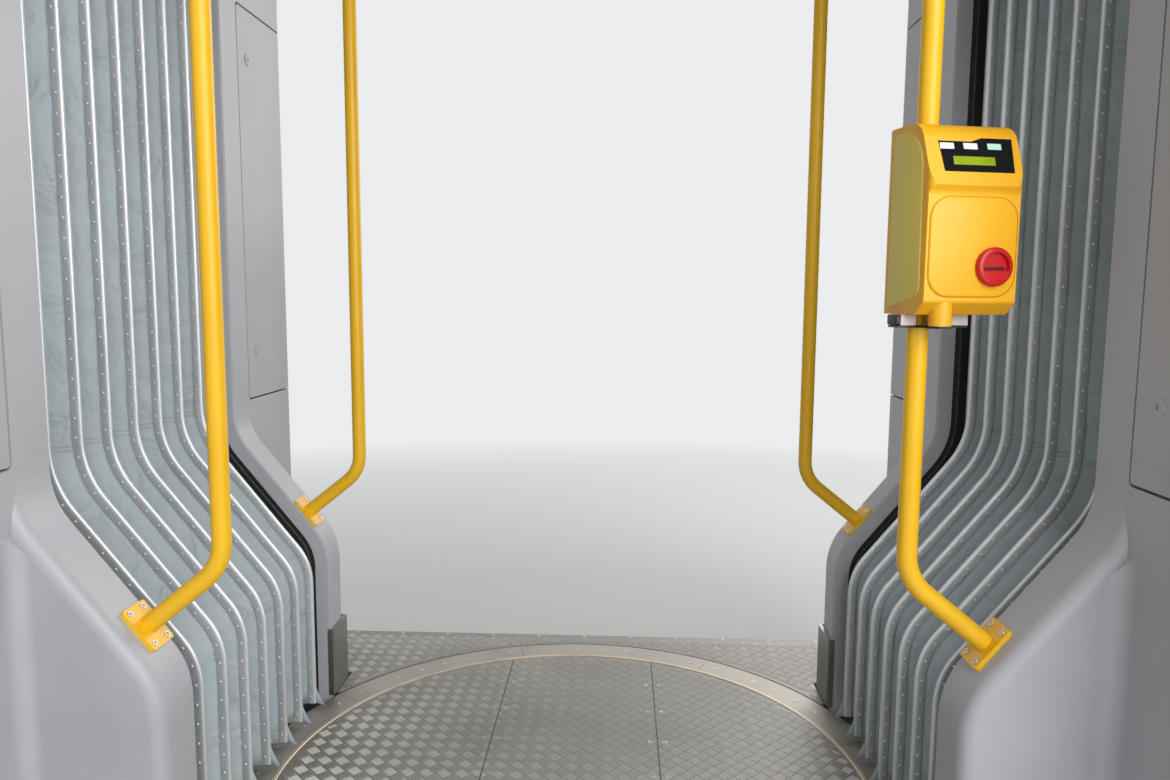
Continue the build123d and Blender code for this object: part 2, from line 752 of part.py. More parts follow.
# Bellows
hoop_places = [(n - (hoop_count - 1) / 2) * hoop_pitch for n in range(hoop_count)]
for number, y in enumerate(hoop_places, start=1):
    save(f"hoop_{number}", hoop(y))
end_clamp = face_y + seal_recess - seal_thickness - running_gap
behind_hoop = outward(hoop_shift, hoop_depth + running_gap)
behind_profile = even(end_profile_inset + end_profile_depth + running_gap)
apex = outward(hoop_shift, hoop_depth + fold_depth)
stops = [(y, behind_hoop) for y in hoop_places]
stops = [(-end_clamp, behind_profile), *stops, (end_clamp, behind_profile)]
for number in range(1, len(stops)):
    (y0, shifts0), (y1, shifts1) = stops[number - 1], stops[number]
    start = y0 + (running_gap if number > 1 else 0)
    stop = y1 - (running_gap if number < len(stops) - 1 else 0)
    save(f"bellows_fold_{number}", fold(start, shifts0, stop, shifts1, apex))

# Validator
for name, shape in validator().items():
    save(name, shape)
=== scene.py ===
"""Looks of the articulation gangway between two low-floor tram cars.

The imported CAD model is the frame. It is in metres, with X to the right, Y towards the far car and Z up.
"""

import logging
from collections.abc import Callable, Iterable, Iterator, Sequence
from contextlib import contextmanager
from dataclasses import dataclass, field
from enum import Enum
from math import asin, atan2, cos, pi, radians, sin, sqrt, tan
from typing import NamedTuple

import bpy
import numpy as np
from mathutils import Matrix, Vector


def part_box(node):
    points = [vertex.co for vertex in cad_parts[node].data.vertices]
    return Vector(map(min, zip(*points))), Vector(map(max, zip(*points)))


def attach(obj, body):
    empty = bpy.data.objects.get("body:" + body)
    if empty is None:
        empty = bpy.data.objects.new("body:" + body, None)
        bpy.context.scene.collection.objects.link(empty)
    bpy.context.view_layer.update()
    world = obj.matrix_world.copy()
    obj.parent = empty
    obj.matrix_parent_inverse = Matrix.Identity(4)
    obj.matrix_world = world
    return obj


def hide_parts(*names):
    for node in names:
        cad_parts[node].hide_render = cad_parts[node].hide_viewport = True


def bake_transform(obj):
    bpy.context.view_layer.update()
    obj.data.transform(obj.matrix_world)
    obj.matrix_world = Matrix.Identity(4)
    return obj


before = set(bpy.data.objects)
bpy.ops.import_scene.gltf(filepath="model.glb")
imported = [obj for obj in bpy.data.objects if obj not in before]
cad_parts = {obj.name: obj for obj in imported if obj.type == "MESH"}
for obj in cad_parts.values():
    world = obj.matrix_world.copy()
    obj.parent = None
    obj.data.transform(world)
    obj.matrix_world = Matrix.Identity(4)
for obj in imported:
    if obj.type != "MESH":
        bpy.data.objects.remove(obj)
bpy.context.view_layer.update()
MM = 0.001
FLOOR_Z = 0.300
SIDES = (("near", -1), ("far", 1))
RIGHT = Vector((1, 0, 0))
log = logging.getLogger("gangway")

# Short names of Blender's types
Node, Piece, Socket, Tree = bpy.types.Node, bpy.types.Object, bpy.types.NodeSocket, bpy.types.NodeTree


# Shader helpers


def linear(code: str) -> tuple[float, float, float, float]:
    """Turn an sRGB hex colour into the linear colour that a shader reads.

    Args:
        code: Six hex digits after a hash sign.

    Returns:
        Linear red, green, blue and an alpha of one.
    """
    values = [int(code[k:k + 2], 16) / 255 for k in (1, 3, 5)]
    red, green, blue = (v / 12.92 if v <= 0.04045 else ((v + 0.055) / 1.055) ** 2.4 for v in values)
    return red, green, blue, 1.0


def add_node(tree: Tree, kind: str, settings: dict | None = None, sockets: dict | None = None) -> Node:
    """Add one node with its settings, values and links.

    Args:
        tree: The node tree.
        kind: The node's Blender type.
        settings: Attributes of the node.
        sockets: Input sockets by name or number, each given a value or the output that feeds it.

    Returns:
        The new node.
    """
    node = tree.nodes.new(kind)
    for name, value in (settings or {}).items():
        setattr(node, name, value)
    for name, value in (sockets or {}).items():
        if isinstance(value, Socket):
            tree.links.new(value, node.inputs[name])
        else:
            node.inputs[name].default_value = value
    return node


def set_stops(ramp: Node, stops: Sequence[tuple[float, str]]) -> None:
    """Set a colour ramp's stops.

    Args:
        ramp: The colour ramp node.
        stops: Position and hex colour of each stop, from low to high.
    """
    elements = ramp.color_ramp.elements
    while len(elements) > 1:
        elements.remove(elements[-1])
    elements[0].position, elements[0].color = stops[0][0], linear(stops[0][1])
    for place, code in stops[1:]:
        elements.new(place).color = linear(code)


# Finishes


class Grain(Enum):
    """Stretch of the fine grain along X, Y and Z."""

    EVEN = (1.0, 1.0, 1.0)
    UPRIGHT = (1.0, 1.0, 0.03)


@dataclass(frozen=True)
class Finish:
    """One surface finish: its colours, its gloss and the grain that a hand would feel.

    Attributes:
        name: Common name of the material and how its surface was made.
        colour: Main colour.
        shade: Second colour of the soft unevenness.
        roughness: Lowest and highest roughness over the surface.
        metallic: One for bare metal.
        ior: Index of refraction where the surface isn't bare metal.
        grain_mm: Size of the fine grain, drawn a few times coarser than the real one so that it shows.
        grain_height_mm: Height of the fine grain.
        patch_mm: Size of the patches of uneven colour and gloss.
        grain: Direction of the grain.
        coat: Share of a clear coat.
        sheen: Share of fibre sheen.
        slot: Material slot of the record for new pieces; not used here.
    """

    name: str
    colour: str
    shade: str
    roughness: tuple[float, float]
    metallic: float = 0.0
    ior: float = 1.5
    grain_mm: float = 2.0
    grain_height_mm: float = 0.05
    patch_mm: float = 240.0
    grain: Grain = Grain.EVEN
    coat: float = 0.0
    sheen: float = 0.0
    slot: str = ""

    def build(self) -> bpy.types.Material:
        """Build the material.

        Returns:
            A material on Object coordinates.
        """
        material = bpy.data.materials.new(self.name)
        material.use_nodes = True
        tree = material.node_tree
        tree.nodes.clear()
        place = add_node(tree, "ShaderNodeTexCoord").outputs["Object"]
        surface = self.surface(tree, place)
        add_node(tree, "ShaderNodeOutputMaterial", sockets={"Surface": surface.outputs["BSDF"]})
        return material

    def surface(self, tree: Tree, place: Socket) -> Node:
        """Wire the shader, with patches of uneven colour and gloss.

        Args:
            tree: The material's node tree.
            place: Coordinates of the pattern.

        Returns:
            The shader node.
        """
        patches = add_node(
            tree, "ShaderNodeTexNoise",
            sockets={"Vector": place, "Scale": 1000 / self.patch_mm, "Detail": 3.0},
        ).outputs["Fac"]
        tint = add_node(tree, "ShaderNodeValToRGB", sockets={"Fac": patches})
        set_stops(tint, [(0.3, self.shade), (0.62, self.colour)])
        gloss = add_node(
            tree, "ShaderNodeMapRange",
            sockets={"Value": patches, "From Min": 0.3, "From Max": 0.7,
                     "To Min": self.roughness[0], "To Max": self.roughness[1]},
        )
        shader = add_node(
            tree, "ShaderNodeBsdfPrincipled",
            sockets={"Base Color": self.colours(tree, place, tint.outputs["Color"]),
                     "Roughness": gloss.outputs["Result"],
                     "Normal": self.relief(tree, place), "Metallic": self.metallic,
                     "Coat Weight": self.coat, "Sheen Weight": self.sheen},
        )
        if not self.metallic:
            shader.inputs["IOR"].default_value = self.ior
        return shader

    def colours(self, tree: Tree, place: Socket, base: Socket) -> Socket:
        """Return the base colour unchanged; a finish with marks of its own adds them here."""
        return base

    def relief(self, tree: Tree, place: Socket) -> Socket:
        """Wire the fine grain.

        Args:
            tree: The material's node tree.
            place: Coordinates of the pattern.

        Returns:
            The bumped normal.
        """
        stretched = add_node(
            tree, "ShaderNodeMapping", sockets={"Vector": place, "Scale": self.grain.value}
        ).outputs["Vector"]
        grain = add_node(
            tree, "ShaderNodeTexNoise",
            sockets={"Vector": stretched, "Scale": 1000 / self.grain_mm, "Detail": 2.0, "Roughness": 0.6},
        )
        return add_node(
            tree, "ShaderNodeBump",
            sockets={"Height": grain.outputs["Fac"], "Strength": 1.0, "Distance": self.grain_height_mm * MM},
        ).outputs["Normal"]


@dataclass(frozen=True)
class CoatedFabric(Finish):
    """Coated bellows cloth: woven ground, soft pale creases, wrinkles and a double row of stitches.

    Attributes:
        thread_mm: Thread spacing, drawn coarser than the real 1 mm so that it shows.
        thread_height_mm: Height of the threads under the coating.
        crease: Colour of the pale crease lines.
        wrinkles: Wrinkles in a metre.
        wrinkle_height_mm: Height of a wrinkle.
        seam_z_m: Height of the stitched seam.
        seam_gap_mm: Distance between its two rows.
        groove_mm: Half width and depth of a row's groove.
    """

    thread_mm: float = 3.0
    thread_height_mm: float = 0.15
    crease: str = "#BDC7CC"
    wrinkles: float = 9.0
    wrinkle_height_mm: float = 18.0
    seam_z_m: float = FLOOR_Z + 0.80
    seam_gap_mm: float = 9.0
    groove_mm: tuple[float, float] = (1.6, 1.0)

    def colours(self, tree: Tree, place: Socket, base: Socket) -> Socket:
        """Add pale creases where the coating was bent.

        Args:
            tree: The material's node tree.
            place: Coordinates of the pattern.
            base: The even colour.

        Returns:
            The colour with its creases.
        """
        lines = add_node(
            tree, "ShaderNodeTexNoise",
            sockets={"Vector": place, "Scale": self.wrinkles, "Detail": 6.0, "Roughness": 0.62,
                     "Distortion": 0.4},
        ).outputs["Fac"]
        thin = add_node(tree, "ShaderNodeValToRGB", sockets={"Fac": lines})
        set_stops(thin, [(0.47, "#000000"), (0.50, "#6A6A6A"), (0.53, "#000000")])
        return add_node(
            tree, "ShaderNodeMix", {"data_type": "RGBA"},
            {0: thin.outputs["Color"], 6: base, 7: linear(self.crease)},
        ).outputs[2]

    def relief(self, tree: Tree, place: Socket) -> Socket:
        """Wire weave, wrinkles and the two stitched rows.

        Args:
            tree: The material's node tree.
            place: Coordinates of the pattern.

        Returns:
            The bumped normal.
        """
        parts = add_node(tree, "ShaderNodeSeparateXYZ", sockets={0: place}).outputs
        girth = add_node(tree, "ShaderNodeMath", {"operation": "ADD"}, {0: parts[0], 1: parts[2]}).outputs[0]
        pace = 2 * pi / (self.thread_mm * MM)
        threads = {}
        for n, along in enumerate((parts[1], girth)):
            turn = add_node(tree, "ShaderNodeMath", {"operation": "MULTIPLY"}, {0: along, 1: pace}).outputs[0]
            threads[n] = add_node(tree, "ShaderNodeMath", {"operation": "SINE"}, {0: turn}).outputs[0]
        weave = add_node(tree, "ShaderNodeMath", {"operation": "MAXIMUM"}, threads).outputs[0]
        soft = add_node(
            tree, "ShaderNodeTexNoise",
            sockets={"Vector": place, "Scale": self.wrinkles, "Detail": 3.0, "Roughness": 0.5,
                     "Distortion": 0.9},
        ).outputs["Fac"]
        off_row = parts[2]
        for middle in (self.seam_z_m, self.seam_gap_mm / 2 * MM):
            away = add_node(tree, "ShaderNodeMath", {"operation": "SUBTRACT"}, {0: off_row, 1: middle})
            off_row = add_node(
                tree, "ShaderNodeMath", {"operation": "ABSOLUTE"}, {0: away.outputs[0]}
            ).outputs[0]
        half_width, depth = self.groove_mm
        rows = add_node(
            tree, "ShaderNodeMapRange",
            sockets={"Value": off_row, "From Min": 0.0, "From Max": half_width * MM,
                     "To Min": -1.0, "To Max": 0.0},
        ).outputs["Result"]
        normal = add_node(
            tree, "ShaderNodeBump",
            sockets={"Height": weave, "Strength": 0.35, "Distance": self.thread_height_mm * MM},
        ).outputs["Normal"]
        for height, size_mm in ((soft, self.wrinkle_height_mm), (rows, depth)):
            normal = add_node(
                tree, "ShaderNodeBump",
                sockets={"Height": height, "Strength": 1.0, "Distance": size_mm * MM, "Normal": normal},
            ).outputs["Normal"]
        return normal


@dataclass(frozen=True)
class LampLens(Finish):
    """Frosted lens or pane with a faint glow."""

    glow: float = 0.6

    def surface(self, tree: Tree, place: Socket) -> Node:
        """Add the glow to the plain shader."""
        shader = super().surface(tree, place)
        shader.inputs["Emission Color"].default_value = linear(self.colour)
        shader.inputs["Emission Strength"].default_value = self.glow
        return shader


# Glass-fibre moulding in satin grey: soft broad highlights and a slight orange peel
LINING = Finish("moulded glass fibre, satin", "#B4B5BA", "#ADAEB3", (0.36, 0.46), grain_mm=1.8,
                grain_height_mm=0.03, slot="lining")
# The same moulding for the doors, a shade darker and a little glossier, so that they stand out
DOOR = Finish("moulded glass fibre, polished", "#B0B1B6", "#A9AAAF", (0.34, 0.44), grain_mm=1.8,
              grain_height_mm=0.03, slot="door")
# Sprayed two-coat paint: pale, even, with sharper highlights under its clear coat
BODY_PAINT = Finish("sprayed body paint", "#D4D6D6", "#D0D2D2", (0.28, 0.32), grain_mm=1.5,
                    grain_height_mm=0.004, patch_mm=900, coat=0.3, slot="shell")
# Moulded ABS: clean white with a close, soft gloss
FITTING = Finish("white moulded ABS", "#E2E3E1", "#DADBD9", (0.30, 0.38), grain_height_mm=0.02,
                 slot="fitting")
# Frosted polycarbonate: no hard reflection, and a faint even glow
LENS = LampLens("frosted polycarbonate lens", "#F1F2EE", "#E9EAE6", (0.30, 0.38), grain_height_mm=0.02,
                slot="fitting")
# Moulded rubber: nearly black and dull, with a dusty bloom
RUBBER = Finish("black moulded rubber", "#1B1C1E", "#141517", (0.55, 0.72), grain_mm=1.0,
                grain_height_mm=0.06, slot="rubber")
# Anodised extrusion: cool pale metal with broad milky highlights along its nose
ANODISED = Finish("anodised aluminium", "#D4D6D8", "#C9CBCD", (0.40, 0.50), 0.65, grain_mm=3.0,
                  grain_height_mm=0.015, slot="profile")
# End profiles: the anodised extrusion drawn in pale non-metal grey, painted light in place of the dark
# reflection of its shaded strip
LIT_PROFILE_GREY = Finish("aluminium grey with painted light", "#C2C6C9", "#B8BCBF", (0.40, 0.50), grain_mm=3.0,
                   grain_height_mm=0.02, slot="profile")
# Sheet brushed upright: dark reflections drawn out along the brush lines
STAINLESS = Finish("brushed stainless steel", "#8F8E8B", "#7F7E7B", (0.34, 0.44), 1.0, grain_mm=1.2,
                   grain_height_mm=0.03, grain=Grain.UPRIGHT, slot="stainless")
# Ground plate that is walked on: warm grey, dulled in patches
RING_STEEL = Finish("ground stainless steel", "#A8A29A", "#98928A", (0.48, 0.60), 1.0,
                    grain_height_mm=0.03, patch_mm=120, slot="stainless")
# Turned bronze rim, worn: a thin warm line round the floor
RIM_STEEL = Finish("worn turned bronze", "#C8BBA6", "#B9AA93", (0.46, 0.60), 1.0, grain_height_mm=0.03,
                   patch_mm=90, slot="stainless")
# Rolled tread plate: the dull, slightly dirty ground between the bars
TREAD = Finish("rolled tread plate", "#96928C", "#8C8882", (0.52, 0.62), 1.0, grain_mm=2.4, patch_mm=420,
               slot="tread")
# Tops of the rolled bars, rubbed bright by shoes
TREAD_BAR = Finish("rolled tread bars, trodden", "#BDBAB4", "#B2AFA9", (0.40, 0.50), 1.0,
                   grain_height_mm=0.02, patch_mm=300, slot="tread")
# Thick brushed-on paint over steel: dark, with the paint's soft waves
FRAME_PAINT = Finish("painted frame steel", "#33373B", "#2A2E31", (0.38, 0.52), grain_mm=4.0,
                     grain_height_mm=0.08, slot="frame_steel")
# Turned steel: plain grey metal with a fairly sharp shine
BEARING_STEEL = Finish("turned bearing steel", "#8E9092", "#7C7E80", (0.26, 0.36), 1.0,
                       grain_height_mm=0.02, slot="bearing")
# Powder coat: strong yellow with an even, softly broken gloss
POLE_PAINT = Finish("yellow powder coat", "#F6C01B", "#F0B814", (0.34, 0.42), grain_mm=2.4,
                    grain_height_mm=0.02, slot="pole")
# Textured ABS housing: yellow with a fine dull bloom on its faces
HOUSING = Finish("yellow moulded ABS", "#F2B41C", "#E9AA14", (0.34, 0.44), grain_mm=1.2, slot="housing")
# Cast acrylic: black glass with clear, sharp reflections
WINDOW = Finish("dark cast acrylic", "#101216", "#0B0C0F", (0.05, 0.09), ior=1.49, grain_height_mm=0.0,
                slot="window")
# Moulded nylon: full red with a bright, rounded highlight
KNOB = Finish("red moulded nylon", "#C8151B", "#B81217", (0.24, 0.32), grain_height_mm=0.02, slot="knob")
# Cast and lightly blasted: pale and matt
BRACKET = Finish("pale blasted casting", "#D9D0CB", "#CEC5C0", (0.42, 0.52), grain_height_mm=0.06,
                 slot="bracket")
# Black stove enamel on the small plates: a dark, quiet edge
FOOT = Finish("black stove enamel", "#17181A", "#111214", (0.40, 0.52), grain_height_mm=0.04, slot="foot")
# Woven polyester coated with rubber: matt blue-grey, with a slight sheen and soft creases
FABRIC = CoatedFabric("coated woven polyester", "#AEB9BE", "#A2ACB1", (0.46, 0.62), ior=1.46, patch_mm=160,
                      sheen=0.15, slot="fabric")
# The seal's lip, rubbed grey: a lighter thread along the black seal
LIP_RUBBER = Finish("rubbed moulded rubber", "#3A3B3D", "#2C2D2F", (0.45, 0.60), grain_mm=1.0, slot="rubber")
# Side covers of the housing: the yellow plastic, paler and greener with a painted grey sheen, and duller than
# its front
SIDE_COVER_SHEEN = Finish("yellow ABS with painted grey sheen", "#E9D264", "#E0C85A", (0.42, 0.52), grain_mm=1.4, slot="housing")
# The knob's slot: the same nylon, painted dark as shade, since the slot is so deep that it looks dark
KNOB_SHADE = Finish("shaded moulded nylon", "#3D0507", "#330406", (0.50, 0.60), grain_height_mm=0.02,
                    slot="knob")
# Moulded light guides: milky panes, the last one green
PANE = LampLens("pale moulded light guide", "#EDE9EA", "#E2DEDF", (0.20, 0.28), grain_height_mm=0.0,
                slot="window", glow=0.12)
GREEN_PANE = LampLens("green moulded light guide", "#BFE3CE", "#B2D8C2", (0.20, 0.28), grain_height_mm=0.0,
                      slot="window", glow=0.12)
# Liquid crystal under film: yellow-green, faintly lit from behind
SCREEN = LampLens("laminated liquid crystal", "#8FA61C", "#7E9614", (0.12, 0.18), grain_height_mm=0.0,
                  patch_mm=30.0, slot="window", glow=0.10)
# Bright-turned screws: small sharp glints
SCREW_STEEL = Finish("bright turned steel", "#C6C7C8", "#B2B3B5", (0.20, 0.30), 1.0, grain_height_mm=0.01,
                     slot="stainless")


# Object helpers


def clear_selection() -> None:
    """Leave edit mode and deselect every object."""
    if bpy.context.object and bpy.context.object.mode != "OBJECT":
        bpy.ops.object.mode_set(mode="OBJECT")
    bpy.ops.object.select_all(action="DESELECT")


def only(piece: Piece) -> None:
    """Select one object alone and make it active."""
    clear_selection()
    piece.select_set(True)
    bpy.context.view_layer.objects.active = piece


def start(
    name: str, primitive: Callable[..., set[str]], scale: Sequence[float] = (1.0, 1.0, 1.0),
    **settings: object,
) -> Piece:
    """Add one primitive at its size and place, and name it.

    Args:
        name: Name of the piece that it starts.
        primitive: The operator that adds it.
        scale: Its stretch along each axis.
        settings: The operator's own settings.

    Returns:
        The new object, with its place and stretch in its mesh.
    """
    clear_selection()
    primitive(**settings)
    piece = bpy.context.object
    piece.name = piece.data.name = name
    piece.scale = scale
    bpy.ops.object.transform_apply(location=True, rotation=True, scale=True)
    return piece


@contextmanager
def editing(piece: Piece, mode: str = "VERT") -> Iterator[None]:
    """Open one object in edit mode with all of it selected, and close it at the end.

    Args:
        piece: The object.
        mode: VERT or FACE.

    Yields:
        Nothing.
    """
    only(piece)
    bpy.ops.object.mode_set(mode="EDIT")
    bpy.ops.mesh.select_mode(type=mode)
    bpy.ops.mesh.select_all(action="SELECT")
    yield
    bpy.ops.object.mode_set(mode="OBJECT")


def select_where(piece: Piece, test: Callable[[Vector], bool], mode: str = "VERT") -> None:
    """Select by place, in edit mode.

    Args:
        piece: The object in edit mode.
        test: Says of a vertex, or of a face's middle, whether it is wanted.
        mode: VERT or FACE.
    """
    bpy.ops.mesh.select_mode(type=mode)
    bpy.ops.mesh.select_all(action="DESELECT")
    bpy.ops.object.mode_set(mode="OBJECT")
    if mode == "VERT":
        for vertex in piece.data.vertices:
            vertex.select = test(vertex.co)
    else:
        for face in piece.data.polygons:
            face.select = test(face.center)
    bpy.ops.object.mode_set(mode="EDIT")


def shade(angle: float) -> None:
    """Shade the active object smooth, with sharp edges from an angle in degrees."""
    bpy.ops.object.shade_smooth_by_angle(angle=radians(angle))


def tidy_mesh(piece: Piece, angle: float) -> None:
    """Merge doubles, turn the faces outwards and shade by an angle in degrees."""
    with editing(piece):
        bpy.ops.mesh.remove_doubles(threshold=0.01 * MM)
        bpy.ops.mesh.normals_make_consistent(inside=False)
    shade(angle)


def add_modifier(piece: Piece, kind: str, **settings: object) -> None:
    """Add a modifier to a piece and apply it.

    Args:
        piece: The piece.
        kind: The modifier's Blender type.
        settings: The modifier's own settings.
    """
    only(piece)
    modifier = piece.modifiers.new(kind.lower(), kind)
    for name, value in settings.items():
        setattr(modifier, name, value)
    bpy.ops.object.modifier_apply(modifier=modifier.name)


def repeated(piece: Piece, places: Iterable[Matrix]) -> Piece:
    """Repeat one small model at many places, in one mesh.

    Args:
        piece: The model, at the origin; it becomes the result.
        places: One matrix for each copy.

    Returns:
        The object, with its place in its mesh.
    """
    corners = np.array([vertex.co[:] for vertex in piece.data.vertices])
    faces = [list(face.vertices) for face in piece.data.polygons]
    smooth = [face.use_smooth for face in piece.data.polygons]
    matrices = np.array([np.array(place) for place in places])
    everywhere = np.einsum("nij,vj->nvi", matrices[:, :3, :3], corners) + matrices[:, None, :3, 3]
    count = len(corners)
    all_faces = [[v + n * count for v in face] for n in range(len(matrices)) for face in faces]
    mesh = bpy.data.meshes.new(piece.name)
    mesh.from_pydata(everywhere.reshape(-1, 3).tolist(), [], all_faces)
    mesh.polygons.foreach_set("use_smooth", smooth * len(matrices))
    mesh.update()
    old = piece.data
    piece.data = mesh
    bpy.data.meshes.remove(old)
    return piece


def placed(x: float, y: float, z: float, turn: float = 0.0) -> Matrix:
    """Return the matrix of a place and a turn in radians about Z."""
    return Matrix.Translation((x, y, z)) @ Matrix.Rotation(turn, 4, "Z")


def facing(place: Vector, normal: Vector, along: Vector) -> Matrix:
    """Return the matrix that stands a model's Z on a normal, with its X along a direction.

    Args:
        place: Where the model's origin goes.
        normal: Where its Z points.
        along: Where its X points, as nearly as the normal allows.

    Returns:
        The matrix.
    """
    up = normal.normalized()
    side = (along - up * along.dot(up)).normalized()
    return Matrix.Translation(place) @ Matrix((side, up.cross(side), up)).transposed().to_4x4()


def screw_head(name: str, radius: float, height: float, recess: float) -> Piece:
    """Model one screw head with a round recess.

    Args:
        name: Name of the piece that it starts.
        radius: Radius of the head.
        height: Height of the head.
        recess: Radius of the recess.

    Returns:
        The screw head at the origin, with no underside.
    """
    edge = 0.3 * height
    head = start(name, bpy.ops.mesh.primitive_cylinder_add, vertices=18, radius=radius, depth=height,
                 location=(0, 0, height / 2))
    with editing(head):
        select_where(head, lambda co: co.z > 0.9 * height, "FACE")
        bpy.ops.mesh.bevel(offset=edge, segments=2, affect="EDGES")
        select_where(head, lambda co: co.z > 0.95 * height and co.xy.length < 0.1 * radius, "FACE")
        bpy.ops.mesh.inset(thickness=radius - recess - edge, depth=0.0)
        bpy.ops.mesh.inset(thickness=0.1 * recess, depth=-0.7 * height)
        select_where(head, lambda co: co.z < 0.05 * height, "FACE")
        bpy.ops.mesh.delete(type="FACE")
    shade(40)
    return head


# Finishes by CAD node


@dataclass
class Wardrobe:
    """Builds each finish once and lays it on objects."""

    built: dict[str, bpy.types.Material] = field(default_factory=dict)

    def dress(self, piece: Piece, finish: Finish) -> None:
        """Give one object a finish all over.

        Args:
            piece: The object.
            finish: Its finish, whose material is built at its first use.
        """
        if finish.name not in self.built:
            self.built[finish.name] = finish.build()
        piece.data.materials.clear()
        piece.data.materials.append(self.built[finish.name])

    def finish_piece(self, piece: Piece, finish: Finish, body: str) -> None:
        """Dress a new piece and let it ride on its body.

        Args:
            piece: The new piece.
            finish: Its finish.
            body: The CAD body that carries it.
        """
        self.dress(piece, finish)
        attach(piece, body)
        log.info("%s: %s on %s, %d faces", piece.name, finish.name, body, len(piece.data.polygons))

    def dress_cad(self) -> None:
        """Give every CAD node the finish of the first entry that its name starts or ends with."""
        for name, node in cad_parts.items():
            finishes = (f for part, f in CAD_FINISHES.items() if name.startswith(part) or name.endswith(part))
            self.dress(node, next(finishes))


CAD_FINISHES: dict[str, Finish] = {
    "hoop_": ANODISED, "bellows_fold_": FABRIC, "body_shell": BODY_PAINT, "lining": LINING, "_door": DOOR,
    "header_fittings": FITTING, "seal": RUBBER, "end_profile": ANODISED, "kick_plates": STAINLESS,
    "cross_frame": FRAME_PAINT, "car_floor": TREAD, "grab_poles": POLE_PAINT, "console": FRAME_PAINT,
    "bearing_": BEARING_STEEL, "floor_carrier": FRAME_PAINT, "floor_panels": TREAD, "floor_rim": RIM_STEEL,
    "floor_ring": RING_STEEL, "validator_housing": HOUSING, "validator_display": WINDOW,
    "validator_knob": KNOB, "validator_bracket": BRACKET, "validator_foot": FOOT,
}


# Keyhole line of the lining, as the CAD has it


class Bend(NamedTuple):
    """One bend of the keyhole line, in x and z."""

    enter: Vector
    centre: Vector
    turn: float
    leave: Vector


